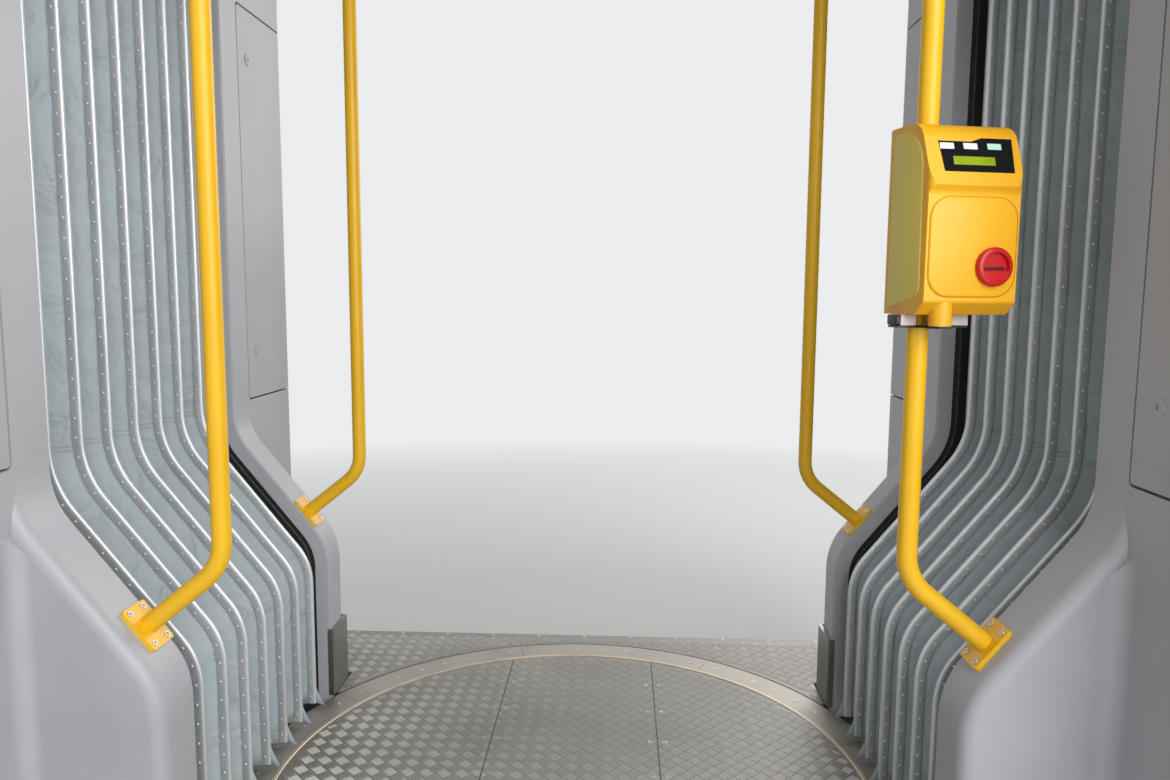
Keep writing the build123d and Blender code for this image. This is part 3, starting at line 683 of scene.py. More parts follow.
@dataclass(frozen=True)
class Keyhole:
    """Right half of the keyhole as heights above the floor, and its run-by-run shifts."""

    soffit: float = 2.250
    chamfer: float = 2.030
    chamfer_deg: float = 37.0
    side: float = 0.937
    shoulder: float = 0.740
    diagonal_deg: float = 51.2
    foot: float = 0.688
    radii: tuple[float, float, float, float] = (0.120, 0.120, 0.150, 0.180)

    def slopes(self) -> tuple[float, float, float, float]:
        """Return the cosine and sine of the chamfer's slope, then of the diagonal's."""
        return tuple(f(radians(deg)) for deg in (self.chamfer_deg, self.diagonal_deg) for f in (cos, sin))

    def corners(self, shifts: Sequence[float], low: float) -> tuple[list[tuple[float, float]], list[float]]:
        """Work out the corner points and bend radii of one shifted line.

        Args:
            shifts: Outward shifts of top, chamfer, side, diagonal and foot.
            low: Height of the line's two ends above the ground plane.

        Returns:
            Points from the left foot over the top to the right foot, and the radius at each inner point.
        """
        top, slope, side, diagonal, foot = shifts
        cha, sha, dia, sia = self.slopes()
        top_z = FLOOR_Z + self.soffit + top
        chamfer_z, shoulder_z = FLOOR_Z + self.chamfer, FLOOR_Z + self.shoulder
        x1 = self.side + (slope - (top_z - chamfer_z) * cha) / sha
        x2 = self.side + side
        z2 = chamfer_z + (slope - side * sha) / cha
        z3 = shoulder_z + (side * sia - diagonal) / dia
        x4 = self.foot + foot
        z4 = shoulder_z + ((x4 - self.side) * sia - diagonal) / dia
        half = [(x1, top_z), (x2, z2), (x2, z3), (x4, z4), (x4, low)]
        radii = [
            self.radii[0] + (top + slope) / 2, self.radii[1] + (slope + side) / 2,
            self.radii[2] + (side + diagonal) / 2, self.radii[3] - (diagonal + foot) / 2,
        ]
        return [(-x, z) for x, z in reversed(half)] + half, list(reversed(radii)) + radii

    def bends(self, shifts: Sequence[float], low: float) -> tuple[Vector, list[Bend], Vector]:
        """Work out where a shifted line's bends start, turn and end.

        Args:
            shifts: Outward shifts of the five runs.
            low: Height of the two ends.

        Returns:
            First point, the eight bends and last point, as x and z.
        """
        points, radii = self.corners(shifts, low)
        found = []
        for k, radius in enumerate(radii, start=1):
            before, at, after = (Vector(points[k + n]) for n in (-1, 0, 1))
            first, second = (at - before).normalized(), (after - at).normalized()
            turn = atan2(first.x * second.y - first.y * second.x, first.dot(second))
            reach = radius * tan(abs(turn) / 2)
            enter = at - first * reach
            centre = enter + Vector((-first.y, first.x)) * radius * (1 if turn > 0 else -1)
            found.append(Bend(enter, centre, turn, at + second * reach))
        return Vector(points[0]), found, Vector(points[-1])

    def stations(
        self, shifts: Sequence[float], low: float, bend_steps: int, run_steps: Sequence[int]
    ) -> np.ndarray:
        """Sample a line with the same number of stations on every shifted line.

        Args:
            shifts: Outward shifts of the five runs.
            low: Height of the two ends.
            bend_steps: Steps round each bend.
            run_steps: Steps along each of the nine runs.

        Returns:
            One row of x and z for each station.
        """
        begin, found, end = self.bends(shifts, low)
        rows: list[tuple[float, float]] = []
        for bend, steps in zip(found, run_steps):
            rows += [tuple(begin.lerp(bend.enter, n / steps)) for n in range(steps)]
            arm = bend.enter - bend.centre
            for n in range(bend_steps):
                angle = bend.turn * n / bend_steps
                rows.append((bend.centre.x + arm.x * cos(angle) - arm.y * sin(angle),
                             bend.centre.y + arm.x * sin(angle) + arm.y * cos(angle)))
            begin = bend.leave
        rows += [tuple(begin.lerp(end, n / run_steps[-1])) for n in range(run_steps[-1] + 1)]
        return np.array(rows)

    def carry(self, shifts: Sequence[float], low: float, bend_steps: int = 8) -> None:
        """Carry the selected profile along a line: extrude it along each run and spin it round each bend.

        Args:
            shifts: Outward shifts of the five runs.
            low: Height of the two ends.
            bend_steps: Steps round each bend.
        """
        begin, found, end = self.bends(shifts, low)
        for bend in (*found, None):
            way = (bend.enter if bend else end) - begin
            bpy.ops.mesh.extrude_region_move(TRANSFORM_OT_translate={"value": (way.x, 0.0, way.y)})
            if bend:
                centre = (bend.centre.x, 0.0, bend.centre.y)
                bpy.ops.mesh.spin(steps=bend_steps, angle=bend.turn, center=centre, axis=(0.0, 1.0, 0.0))
                begin = bend.leave

    def spaced(self, shifts: Sequence[float], low: float, pitch: float) -> list[tuple[float, float]]:
        """Find evenly spaced points on a line.

        Args:
            shifts: Outward shifts of the five runs.
            low: Height of the two ends.
            pitch: Distance from point to point.

        Returns:
            Each point as x and z.
        """
        line = self.stations(shifts, low, 12, (60,) * 9)
        run = np.concatenate([[0.0], np.cumsum(np.linalg.norm(np.diff(line, axis=0), axis=1))])
        wanted = np.arange(pitch / 2, run[-1], pitch)
        return list(zip(np.interp(wanted, run, line[:, 0]), np.interp(wanted, run, line[:, 1])))


KEYHOLE = Keyhole()
HOOP_SHIFTS = (0.018, 0.030, 0.048, 0.030, 0.018)
HOOP_LOW = FLOOR_Z + 0.012


def moved_out(shifts: Sequence[float], extra: float) -> tuple[float, ...]:
    """Return the same runs moved further out by one distance."""
    return tuple(s + extra for s in shifts)


# Bellows


@dataclass
class Bellows:
    """Fabric folds between the clamp hoops."""

    wardrobe: Wardrobe
    hoop_count: int = 7
    hoop_pitch: float = 0.1033
    hoop_depth: float = 0.020
    fold_depth: float = 0.080
    end_clamp: float = 0.3867
    end_shift: float = 0.0923
    gap: float = 0.0003
    cloth: float = 0.002
    apex_round: float = 0.16
    bend_steps: int = 9
    run_steps: tuple[int, ...] = (10, 12, 44, 12, 40, 12, 44, 12, 10)
    side_points: int = 9
    wave_size: float = 0.11
    wave_height: float = 0.014
    wave_fade: float = 0.7
    tip_lap: float = 0.004
    tip_size: tuple[float, float, float] = (0.029, 0.054, 0.010)
    # Corners of a tip: reach into the passage, height and curl, as shares of its size
    tip_corners: tuple[tuple[float, float, float], ...] = (
        (0.0, 0.0, 0.0), (1.0, 0.0, 1.0), (0.55, 0.3, 0.4), (0.2, 0.68, 0.1), (0.0, 1.0, 0.0),
    )

    def stops(self) -> list[tuple[float, tuple[float, ...]]]:
        """List where the cloth is clamped, from the near end to the far end.

        Returns:
            Place along the car and outward shifts of each clamp.
        """
        at_end = (self.end_shift,) * 5
        at_hoop = moved_out(HOOP_SHIFTS, self.hoop_depth + self.gap)
        middle = (self.hoop_count - 1) / 2
        hoops = [((n - middle) * self.hoop_pitch, at_hoop) for n in range(self.hoop_count)]
        return [(-self.end_clamp, at_end), *hoops, (self.end_clamp, at_end)]

    def build(self) -> None:
        """Build the eight folds."""
        stops = self.stops()
        last = len(stops) - 1
        for k in range(last):
            (y0, shifts0), (y1, shifts1) = stops[k], stops[k + 1]
            piece = self.fold(f"fabric_fold_{k + 1}", (y0, shifts0), (y1, shifts1))
            self.wardrobe.dress(piece, FABRIC)
            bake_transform(piece)
            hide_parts(f"bellows_fold_{k + 1}")
            tips = [self.tips(k, y0)] if k else []
            self.cut(y0, shifts0, y1, shifts1)
            log.info("%s: %d faces", piece.name, len(piece.data.polygons))

    def cut(
        self, y0: float, shifts0: Sequence[float], y1: float, shifts1: Sequence[float]
    ) -> tuple[float, float]:
        """Work out the flat strip that a fold is cut from.

        Args:
            y0: Place of its near edge.
            shifts0: Shifts of its near edge.
            y1: Place of its far edge.
            shifts1: Shifts of its far edge.

        Returns:
            Width from clamp to clamp round the fold, and mean length round the gangway.
        """
        out = HOOP_SHIFTS[2] + self.hoop_depth + self.fold_depth * (1 - self.apex_round / 2)
        half = (y1 - y0) / 2
        width = sqrt(half ** 2 + (out - shifts0[2]) ** 2) + sqrt(half ** 2 + (out - shifts1[2]) ** 2)
        mean = moved_out(HOOP_SHIFTS, self.hoop_depth + self.fold_depth / 2)
        line = KEYHOLE.stations(mean, HOOP_LOW, self.bend_steps, self.run_steps)
        return width, float(np.linalg.norm(np.diff(line, axis=0), axis=1).sum())

    def tips(self, hoop: int, y: float) -> Piece:
        """Build the two free corners of cloth at one hoop's feet.

        Args:
            hoop: Number of the hoop.
            y: Its place along the car.

        Returns:
            The piece.
        """
        nose = KEYHOLE.foot + HOOP_SHIFTS[4] + self.tip_lap
        width, height, curl = self.tip_size
        tip = start(f"hoop_{hoop}_cloth_tips", bpy.ops.mesh.primitive_circle_add,
                    vertices=len(self.tip_corners), fill_type="NGON")
        for vertex, (reach, rise, bow) in zip(tip.data.vertices, self.tip_corners):
            vertex.co = (reach * width, -bow * curl, rise * height)
        repeated(tip, [
            Matrix.Translation((sign * nose, y, HOOP_LOW)) @ Matrix.Diagonal((-sign, 1, 1, 1))
            for sign in (-1, 1)
        ])
        tidy_mesh(tip, 60.0)
        add_modifier(tip, "SOLIDIFY", thickness=self.cloth, offset=0.0)
        self.wardrobe.finish_piece(tip, FABRIC, f"hoop_{hoop}")
        return tip

    @staticmethod
    def shares(part0: float, part1: float, y0: float, y1: float) -> tuple[float, float]:
        """Find the blend's ends so that a fold's two edges turn by their hoops' shares.

        Args:
            part0: Share of the angle at the near edge.
            part1: Share of the angle at the far edge.
            y0: Place of the near edge.
            y1: Place of the far edge.

        Returns:
            Start and end of the blend along the car.
        """
        # The blend's weight is 3t^2 - 2t^3, and this turns it back into t
        t0, t1 = (0.5 - sin(asin(1 - 2 * part) / 3) for part in (part0, part1))
        length = (y1 - y0) / (t1 - t0)
        begin = y0 - t0 * length
        return begin, begin + length

    def fold(
        self, name: str, near: tuple[float, Sequence[float]], far: tuple[float, Sequence[float]]
    ) -> Piece:
        """Build one fold as a sheet of cloth, clamped at both edges.

        Args:
            name: Name of the piece.
            near: Place and shifts of its near edge.
            far: Place and shifts of its far edge.

        Returns:
            The fold.
        """
        y0, y1 = near[0] + self.gap, far[0] - self.gap
        out = moved_out(HOOP_SHIFTS, self.hoop_depth + self.fold_depth)
        lines = [
            KEYHOLE.stations(shifts, HOOP_LOW, self.bend_steps, self.run_steps)
            for shifts in (near[1], out, far[1])
        ]
        columns = []
        for n in range(2 * self.side_points + 1):
            t = n / self.side_points - 1
            edge, y_edge = (lines[0], y0) if t < 0 else (lines[2], y1)
            reach = 1 - sqrt(t * t + self.apex_round ** 2 * (1 - abs(t)) ** 2)
            y = (y0 + y1) / 2 * (1 - abs(t)) + y_edge * abs(t)
            line = edge + (lines[1] - edge) * reach
            columns.append(np.column_stack([line[:, 0], np.full(len(line), y), line[:, 1]]))
        piece = start(name, bpy.ops.mesh.primitive_grid_add, x_subdivisions=len(columns) - 1,
                      y_subdivisions=len(columns[0]) - 1, size=1.0)
        piece.data.vertices.foreach_set("co", np.stack(columns, axis=1).ravel())
        piece.data.update()
        self.crumple(piece, y0, y1)
        add_modifier(piece, "SOLIDIFY", thickness=self.cloth, offset=1.0)
        bpy.ops.object.shade_smooth()
        return piece

    def crumple(self, piece: Piece, y0: float, y1: float) -> None:
        """Add soft waves that die out at the clamps.

        Args:
            piece: The fold.
            y0: Place of its near edge.
            y1: Place of its far edge.
        """
        group = piece.vertex_groups.new(name="free")
        for vertex in piece.data.vertices:
            share = (vertex.co.y - y0) / (y1 - y0)
            group.add([vertex.index], max(0.0, sin(pi * share)) ** self.wave_fade, "REPLACE")
        waves = bpy.data.textures.new("cloth waves", "CLOUDS")
        waves.noise_scale = self.wave_size
        waves.noise_depth = 2
        add_modifier(piece, "DISPLACE", texture=waves, vertex_group="free", strength=self.wave_height,
                     mid_level=0.5, texture_coords="LOCAL")


@dataclass
class Hoops:
    """Crimped aluminium channels: the clamp hoops between the folds and the profiles at both ends."""

    wardrobe: Wardrobe
    count: int = 7
    depth: float = 0.020
    nose_segments: int = 6
    nose_share: float = 0.49
    nose_stretch: float = 2.4
    mark_radius: float = 0.0033
    mark_proud: float = 0.0023
    mark_pitch: float = 0.040
    mark_setback: float = 0.0063
    end_shift: float = 0.074
    end_depth: float = 0.018

    def build(self) -> None:
        """Build every hoop and both end profiles with their crimp marks."""
        for k in range(1, self.count + 1):
            self.channel(f"hoop_{k}", f"hoop_{k}", HOOP_SHIFTS, self.depth, ANODISED)
        for side, _ in SIDES:
            # The end profiles take pale grey with painted light in place of their anodised metal
            self.channel(f"{side}_end_profile", side, (self.end_shift,) * 5, self.end_depth, LIT_PROFILE_GREY)

    def channel(self, node: str, body: str, shifts: Sequence[float], depth: float, finish: Finish) -> None:
        """Build one channel with a long rounded nose in place of a CAD node.

        Args:
            node: The CAD node that it stands for.
            body: The CAD body that carries it.
            shifts: Outward shifts of its inner edge.
            depth: Depth of the channel.
            finish: Its finish.
        """
        low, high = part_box(node)
        width, middle = high.y - low.y, (high.y + low.y) / 2
        back, length = -KEYHOLE.foot - shifts[4] - depth, depth / self.nose_stretch
        piece = start(f"{node}_channel", bpy.ops.mesh.primitive_plane_add, (length, width, 1.0), size=1.0,
                      location=(back + length / 2, middle, low.z))
        with editing(piece):
            select_where(piece, lambda co: co.x > back + length / 2)
            bpy.ops.mesh.bevel(offset=width * self.nose_share, segments=self.nose_segments, affect="VERTICES")
            bpy.ops.mesh.select_mode(type="FACE")
            bpy.ops.mesh.select_all(action="SELECT")
            bpy.ops.transform.resize(value=(self.nose_stretch, 1.0, 1.0),
                                     center_override=(back, middle, low.z))
            KEYHOLE.carry(shifts, low.z)
        tidy_mesh(piece, 40.0)
        self.wardrobe.finish_piece(piece, finish, body)
        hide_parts(node)
        self.marks(node, body, moved_out(shifts, depth - self.mark_setback), (low.y, high.y))

    def marks(self, node: str, body: str, shifts: Sequence[float], sides: tuple[float, float]) -> None:
        """Add the rows of crimp marks on both sides of one channel.

        Args:
            node: The CAD node that the channel stands for.
            body: The CAD body that carries it.
            shifts: Outward shifts of the rows.
            sides: Places of the channel's near and far sides.
        """
        flat = (1.0, 1.0, self.mark_proud / self.mark_radius)
        mark = start(f"{node}_crimps", bpy.ops.mesh.primitive_uv_sphere_add, flat, segments=10, ring_count=6,
                     radius=self.mark_radius)
        with editing(mark):
            select_where(mark, lambda co: co.z < -0.1 * self.mark_proud)
            bpy.ops.mesh.delete(type="VERT")
        bpy.ops.object.shade_smooth()
        spots = KEYHOLE.spaced(shifts, HOOP_LOW, self.mark_pitch)
        places = [
            facing(Vector((x, y, z)), Vector((0, out, 0)), RIGHT)
            for y, out in zip(sides, (-1, 1)) for x, z in spots
        ]
        self.wardrobe.finish_piece(repeated(mark, places), ANODISED, body)


# Tread plate and its screws


@dataclass
class TreadPlates:
    """Five-bar pattern on the turning floor and on both car floors, and the screws beside the seams."""

    wardrobe: Wardrobe
    cell: float = 0.030
    bars: int = 5
    bar_size: tuple[float, float, float] = (0.0250, 0.0036, 0.0016)
    bar_top: tuple[float, float] = (0.90, 0.42)
    bar_pitch: float = 0.0058
    panel_radius: float = 0.679
    seam_x: float = 0.210
    seam_clear: float = 0.002
    floor_edge: float = 0.784
    floor_start: float = 0.40
    half_width: float = 0.930
    foot_x: float = 0.676
    foot_y: float = 0.531
    end_y: float = 0.846
    edge_strip: float = 0.024
    panel_screw: tuple[float, float] = (0.0062, 0.45)
    small_screw: tuple[float, float] = (0.0050, 0.5)
    screw_height: float = 0.0012
    screw_sunk: float = 0.0002
    seam_screws: float = 0.018
    seam_screw_ys: tuple[float, ...] = (-0.45, -0.31, -0.15, 0.01, 0.17, 0.33, 0.49)
    ring_middle: float = 0.732
    ring_groups: int = 8
    ring_first_deg: float = 15.0
    ring_offs_deg: tuple[float, ...] = (-19.5, -13.5, -3, 3, 13.5, 19.5)
    edge_screws: float = 0.012
    edge_pitch: float = 0.15

    def build(self) -> None:
        """Build all bars and screws."""
        edge, gap = self.seam_x, self.seam_clear
        strips = {"left": (-self.panel_radius, -edge - gap), "middle": (gap - edge, edge - gap),
                  "right": (edge + gap, self.panel_radius)}
        for name, strip in strips.items():
            self.plate(f"{name}_panel_tread", "turntable", self.on_panels, self.panel_radius, strip)
        wide = (-self.half_width, self.half_width)
        self.plate("near_floor_tread", "near", lambda x, y: self.on_car_floor(x, -y), self.half_width, wide)
        self.plate("far_floor_tread", "far", self.on_car_floor, self.half_width, wide)
        self.screws()

    def bar(self, name: str) -> Piece:
        """Model one raised bar.

        Args:
            name: Name of the piece that it starts.

        Returns:
            The bar at the origin, along X, with no underside.
        """
        height = self.bar_size[2]
        bar = start(name, bpy.ops.mesh.primitive_cube_add, self.bar_size, size=1.0,
                    location=(0, 0, height / 2))
        with editing(bar):
            select_where(bar, lambda co: co.z > 0.5 * height, "FACE")
            bpy.ops.transform.resize(value=(*self.bar_top, 1.0))
            select_where(bar, lambda co: co.z < 0.1 * height, "FACE")
            bpy.ops.mesh.delete(type="FACE")
        return bar

    def plate(
        self, name: str, body: str, inside: Callable[[float, float], bool], reach: float,
        strip: tuple[float, float],
    ) -> None:
        """Cover one area with groups of five bars, turned from group to group and cut off at its two sides.

        Args:
            name: Name of the piece.
            body: The CAD body that carries it.
            inside: Says whether a bar may stand at x and y.
            reach: Half size of the square that is searched.
            strip: Lowest and highest x.
        """
        side = self.cell * sqrt(2)
        count = int(reach / side) + 1
        half = self.bar_size[0] / 2
        places = []
        for row in range(-count, count + 1):
            for column in range(-count, count + 1):
                for shift, turn in ((0.0, pi / 4), (side / 2, -pi / 4)):
                    x0, y0 = column * side + shift, row * side + shift
                    for n in range(self.bars):
                        off = (n - (self.bars - 1) / 2) * self.bar_pitch
                        x, y = x0 - off * sin(turn), y0 + off * cos(turn)
                        if strip[0] - half < x < strip[1] + half and inside(x, y):
                            places.append(placed(x, y, FLOOR_Z, turn))
        bars = repeated(self.bar(name), places)
        with editing(bars):
            for x, way in zip(strip, (-1, 1)):
                bpy.ops.mesh.select_all(action="SELECT")
                bpy.ops.mesh.bisect(plane_co=(x, 0, 0), plane_no=(way, 0, 0), clear_outer=True)
        self.wardrobe.finish_piece(bars, TREAD_BAR, body)

    def on_panels(self, x: float, y: float) -> bool:
        """Say whether a bar fits inside the panels' round edge."""
        return sqrt(x * x + y * y) < self.panel_radius - 0.4 * self.bar_size[0]

    def on_car_floor(self, x: float, y: float) -> bool:
        """Say whether a bar fits on the far car's floor, clear of its edges."""
        half = self.bar_size[0] / 2 * sqrt(0.5)
        wide = self.half_width if y > self.foot_y + half else self.foot_x
        on_floor = self.floor_start < y < self.end_y - self.edge_strip - half and abs(x) < wide - half
        return on_floor and sqrt(x * x + y * y) > self.floor_edge + half

    def screws(self) -> None:
        """Add the screws of the panels, of the cover ring and of the floor edges."""
        z = FLOOR_Z - self.screw_sunk
        seams = [sign * self.seam_x + side * self.seam_screws for sign in (-1, 1) for side in (-1, 1)]
        panel = [placed(x, y, z) for x in seams for y in self.seam_screw_ys]
        turns = [radians(self.ring_first_deg + 360 / self.ring_groups * k + off)
                 for k in range(self.ring_groups) for off in self.ring_offs_deg]
        ring = [placed(self.ring_middle * cos(t), self.ring_middle * sin(t), z) for t in turns]
        rows = [("panel_screws", self.panel_screw, panel, "turntable"),
                ("ring_screws", self.small_screw, ring, "turntable")]
        for side, sign in SIDES:
            y = sign * (self.end_y - self.edge_screws)
            edge = [placed(n * self.edge_pitch, y, z) for n in range(-6, 7)]
            rows.append((f"{side}_edge_screws", self.small_screw, edge, side))
        for name, (radius, share), places, body in rows:
            head = screw_head(name, radius, self.screw_height, radius * share)
            self.wardrobe.finish_piece(repeated(head, places), SCREW_STEEL, body)


# Seals, flange screws and header fittings


@dataclass
class Seals:
    """Rubber lip along each seal, in the visible strip between lining and end profile."""

    wardrobe: Wardrobe
    lip_shift: float = 0.053
    lip_radius: float = 0.0030
    lip_low: float = FLOOR_Z + 0.002
    seal_face: float = 0.387

    def build(self) -> None:
        """Build the lip of both portals."""
        shifts = (self.lip_shift,) * 5
        for side, sign in SIDES:
            foot = KEYHOLE.bends(shifts, self.lip_low)[0]
            lip = start(f"{side}_seal_lip", bpy.ops.mesh.primitive_circle_add, vertices=10, fill_type="NGON",
                        radius=self.lip_radius, location=(foot.x, sign * self.seal_face, foot.y))
            with editing(lip, "FACE"):
                KEYHOLE.carry(shifts, self.lip_low)
            tidy_mesh(lip, 60.0)
            self.wardrobe.finish_piece(lip, LIP_RUBBER, side)


@dataclass
class FlangeScrews:
    """Four recessed screws in each flange plate of the grab poles."""

    wardrobe: Wardrobe
    pole_x: float = 0.607
    pole_y: float = 0.420
    low_rise: float = 0.631
    high_rise: float = 1.957
    plate: float = 0.008
    across: float = 0.0215
    along: float = 0.0340
    radius: float = 0.0058
    height: float = 0.0016

    def seats(self) -> list[tuple[Vector, Vector, Vector]]:
        """Work out the right pole's two plates from the lining's slopes.

        Returns:
            Middle, normal and long direction of the low plate and of the high plate.
        """
        cha, sha, dia, sia = KEYHOLE.slopes()
        reach = KEYHOLE.side - self.pole_x
        down = reach * sia + (self.low_rise - KEYHOLE.shoulder) * dia
        up = reach * sha - (self.high_rise - KEYHOLE.chamfer) * cha
        low = Vector((self.pole_x + down * sia, self.pole_y, FLOOR_Z + self.low_rise - down * dia))
        high = Vector((self.pole_x + up * sha, self.pole_y, FLOOR_Z + self.high_rise + up * cha))
        low_normal, high_normal = Vector((-sia, 0, dia)), Vector((-sha, 0, -cha))
        return [
            (low + low_normal * self.plate, low_normal, Vector((dia, 0, sia))),
            (high + high_normal * self.plate, high_normal, Vector((cha, 0, -sha))),
        ]

    def build(self) -> None:
        """Build the screws of both car ends."""
        corners = [(a * self.along, b * self.across) for a in (-1, 1) for b in (-1, 1)]
        for side, sign in SIDES:
            places = []
            for middle, normal, length in self.seats():
                for mirror in (-1, 1):
                    flip = Vector((mirror, sign, 1))
                    for a, b in corners:
                        spot = middle + length * a + Vector((0, b, 0))
                        places.append(facing(spot * flip, normal * flip, length * flip))
            head = screw_head(f"{side}_flange_screws", self.radius, self.height, self.radius * 0.5)
            self.wardrobe.finish_piece(repeated(head, places), SCREW_STEEL, side)


@dataclass
class HeaderLenses:
    """Domed lenses of the soffit lamps, and the dark middle of the round sensor."""

    wardrobe: Wardrobe
    lamp_x: float = 0.350
    lamp_y: float = 0.592
    lamp_z: float = FLOOR_Z + 2.250 - 0.002
    lens_size: tuple[float, float] = (0.034, 0.006)
    sensor_y: float = 0.820
    sensor_z: float = FLOOR_Z + 2.250 + 0.144
    eye_size: tuple[float, float] = (0.022, 0.011)

    def build(self) -> None:
        """Build the lenses and sensor eyes of both car ends."""
        for side, sign in SIDES:
            lamps = [facing(Vector((x, sign * self.lamp_y, self.lamp_z)), Vector((0, 0, -1)), RIGHT)
                     for x in (-self.lamp_x, self.lamp_x)]
            eye = facing(Vector((0, sign * self.sensor_y, self.sensor_z)), Vector((0, sign, 0)), RIGHT)
            self.domes(f"{side}_lamp_lenses", self.lens_size, lamps, LENS, side)
            self.domes(f"{side}_sensor_eye", self.eye_size, [eye], WINDOW, side)

    def domes(
        self, name: str, size: tuple[float, float], places: list[Matrix], finish: Finish, body: str
    ) -> None:
        """Build shallow domes.

        Args:
            name: Name of the piece.
            size: Radius at the foot, and height.
            places: One matrix for each dome.
            finish: Their finish.
            body: The CAD body that carries them.
        """
        radius, height = size
        dome = start(name, bpy.ops.mesh.primitive_uv_sphere_add, (radius, radius, height), segments=32,
                     ring_count=12, radius=1.0)
        with editing(dome):
            select_where(dome, lambda co: co.z < -0.01 * height)
            bpy.ops.mesh.delete(type="VERT")
            bpy.ops.mesh.select_all(action="SELECT")
            bpy.ops.mesh.select_mode(type="EDGE")
            bpy.ops.mesh.region_to_loop()
            bpy.ops.mesh.extrude_region_move(TRANSFORM_OT_translate={"value": (0, 0, -0.3 * height)})
            bpy.ops.mesh.edge_face_add()
        shade(50)
        self.wardrobe.finish_piece(repeated(dome, places), finish, body)


# Ticket validator


class Plate(NamedTuple):
    """Sizes of a flat plate: width, height, thickness, corner radius and front edge radius."""

    width: float
    height: float
    depth: float
    corner: float
    edge: float


@dataclass
class Validator:
    """Display panes, raised card panel, side covers, knob and bracket cap of the ticket validator."""

    wardrobe: Wardrobe
    pole: tuple[float, float] = (0.607, -0.420)
    turn_deg: float = 13.0
    low: float = FLOOR_Z + 1.091
    left: float = -0.039
    width: float = 0.166
    front: float = 0.082
    overhang: float = 0.008
    neck_rise: float = 0.206
    lean: float = 0.036
    head: float = 0.102
    # Places on the slanted head, from its middle across and from its neck up
    pane: Plate = Plate(0.0245, 0.0104, 0.0006, 0.0010, 0.0002)
    pane_places: tuple[tuple[float, float], ...] = ((-0.0457, 0.0662), (-0.0042, 0.0668), (0.0384, 0.0674))
    screen: Plate = Plate(0.0735, 0.0146, 0.0005, 0.0006, 0.0002)
    screen_place: tuple[float, float] = (-0.0010, 0.0414)
    pad: Plate = Plate(0.156, 0.160, 0.0024, 0.036, 0.0003)
    pad_place: tuple[float, float] = (0.044, 0.109)
    pad_sunk: float = 0.002
    # Insets and rises of the panel's crowned edge
    pad_steps: tuple[tuple[float, float], ...] = (
        (0.0015, 0.0010), (0.0025, 0.0009), (0.0035, 0.0005), (0.0040, 0.0002),
    )
    # Depth, rise and corner radius of the side cover's corners
    cover_corners: tuple[tuple[float, float, float], ...] = (
        (-0.062, 0.033, 0.012), (-0.055, 0.298, 0.062), (0.034, 0.298, 0.022), (0.034, 0.008, 0.010),
    )
    cover_proud: float = 0.0012
    cover_edge: float = 0.0008
    knob_place: tuple[float, float] = (0.080, 0.078)
    knob_radius: float = 0.0315
    knob_depth: float = 0.013
    knob_edge: float = 0.0045
    knob_rim: float = 0.0035
    bowl_depth: float = 0.0065
    bowl_reach: float = 0.020
    ledge_y: float = -0.0055
    ledge_depth: float = 0.0015
    wall_slope: float = 0.0012
    slot: Plate = Plate(0.036, 0.0040, 0.0012, 0.0008, 0.0003)
    slot_y: float = -0.0020
    slot_sunk: float = 0.0002
    bracket_height: float = 0.018
    bracket_edge: float = 0.0012
    clamp_outline: tuple[tuple[float, float], ...] = (
        (-0.045, -0.022), (-0.0175, -0.022), (-0.0175, -0.003), (0.0045, -0.003), (0.0045, -0.022),
        (0.078, -0.022), (0.078, 0.050), (-0.016, 0.050), (-0.045, 0.009),
    )
    plate_outline: tuple[tuple[float, float], ...] = (
        (-0.050, -0.022), (-0.014, -0.022), (-0.014, -0.056), (-0.006, -0.072), (0.014, -0.072),
        (0.022, -0.056), (0.022, -0.022), (0.078, -0.022), (0.078, 0.050), (-0.016, 0.050), (-0.050, 0.009),
    )
    cap: Plate = Plate(0.030, 0.01728, 0.0110, 0.0030, 0.0022)
    cap_place: tuple[float, float] = (-0.042, -0.0065)

    def build(self) -> None:
        """Build every piece on the housing."""
        for number, place in enumerate(self.pane_places, start=1):
            finish = GREEN_PANE if number == len(self.pane_places) else PANE
            self.finish(self.plate(f"validator_pane_{number}", self.pane), self.head_place(*place), finish)
        self.finish(self.plate("validator_screen", self.screen), self.head_place(*self.screen_place), SCREEN)
        self.build_clamp()
        self.build_pad()
        for name, x, out in (("left", self.left, -1), ("right", self.left + self.width, 1)):
            self.side_cover(f"validator_{name}_cover", x, out)
        self.build_knob()
        middle = Vector((*self.cap_place, self.low - self.bracket_height / 2))
        self.finish(self.plate("validator_bracket_cap", self.cap),
                    facing(middle, Vector((-1, 0, 0)), Vector((0, 1, 0))), FOOT)

    def finish(self, piece: Piece, local: Matrix, finish: Finish) -> None:
        """Put a piece that was modelled at the origin in its place and dress it.

        Args:
            piece: The piece.
            local: Its place in the validator's own frame, which stands turned on the pole.
            finish: Its finish.
        """
        piece.data.transform(placed(*self.pole, 0.0, radians(self.turn_deg)) @ local)
        piece.data.update()
        self.wardrobe.finish_piece(piece, finish, "near")

    def head_place(self, across: float, up: float) -> Matrix:
        """Return the matrix of a point on the head's slanted face, with Z out of the face."""
        rise = Vector((0.0, self.lean, self.head)).normalized()
        middle = Vector((self.left + self.width / 2, -self.front, self.low + self.neck_rise))
        return facing(middle + RIGHT * across + rise * up, RIGHT.cross(rise), RIGHT)

    def front_place(self, x: float, rise: float, sunk: float = 0.0) -> Matrix:
        """Return the matrix of a point on the upright front, with Z out of the face."""
        spot = Vector((x, self.overhang - self.front + sunk, self.low + rise))
        return facing(spot, Vector((0, -1, 0)), RIGHT)

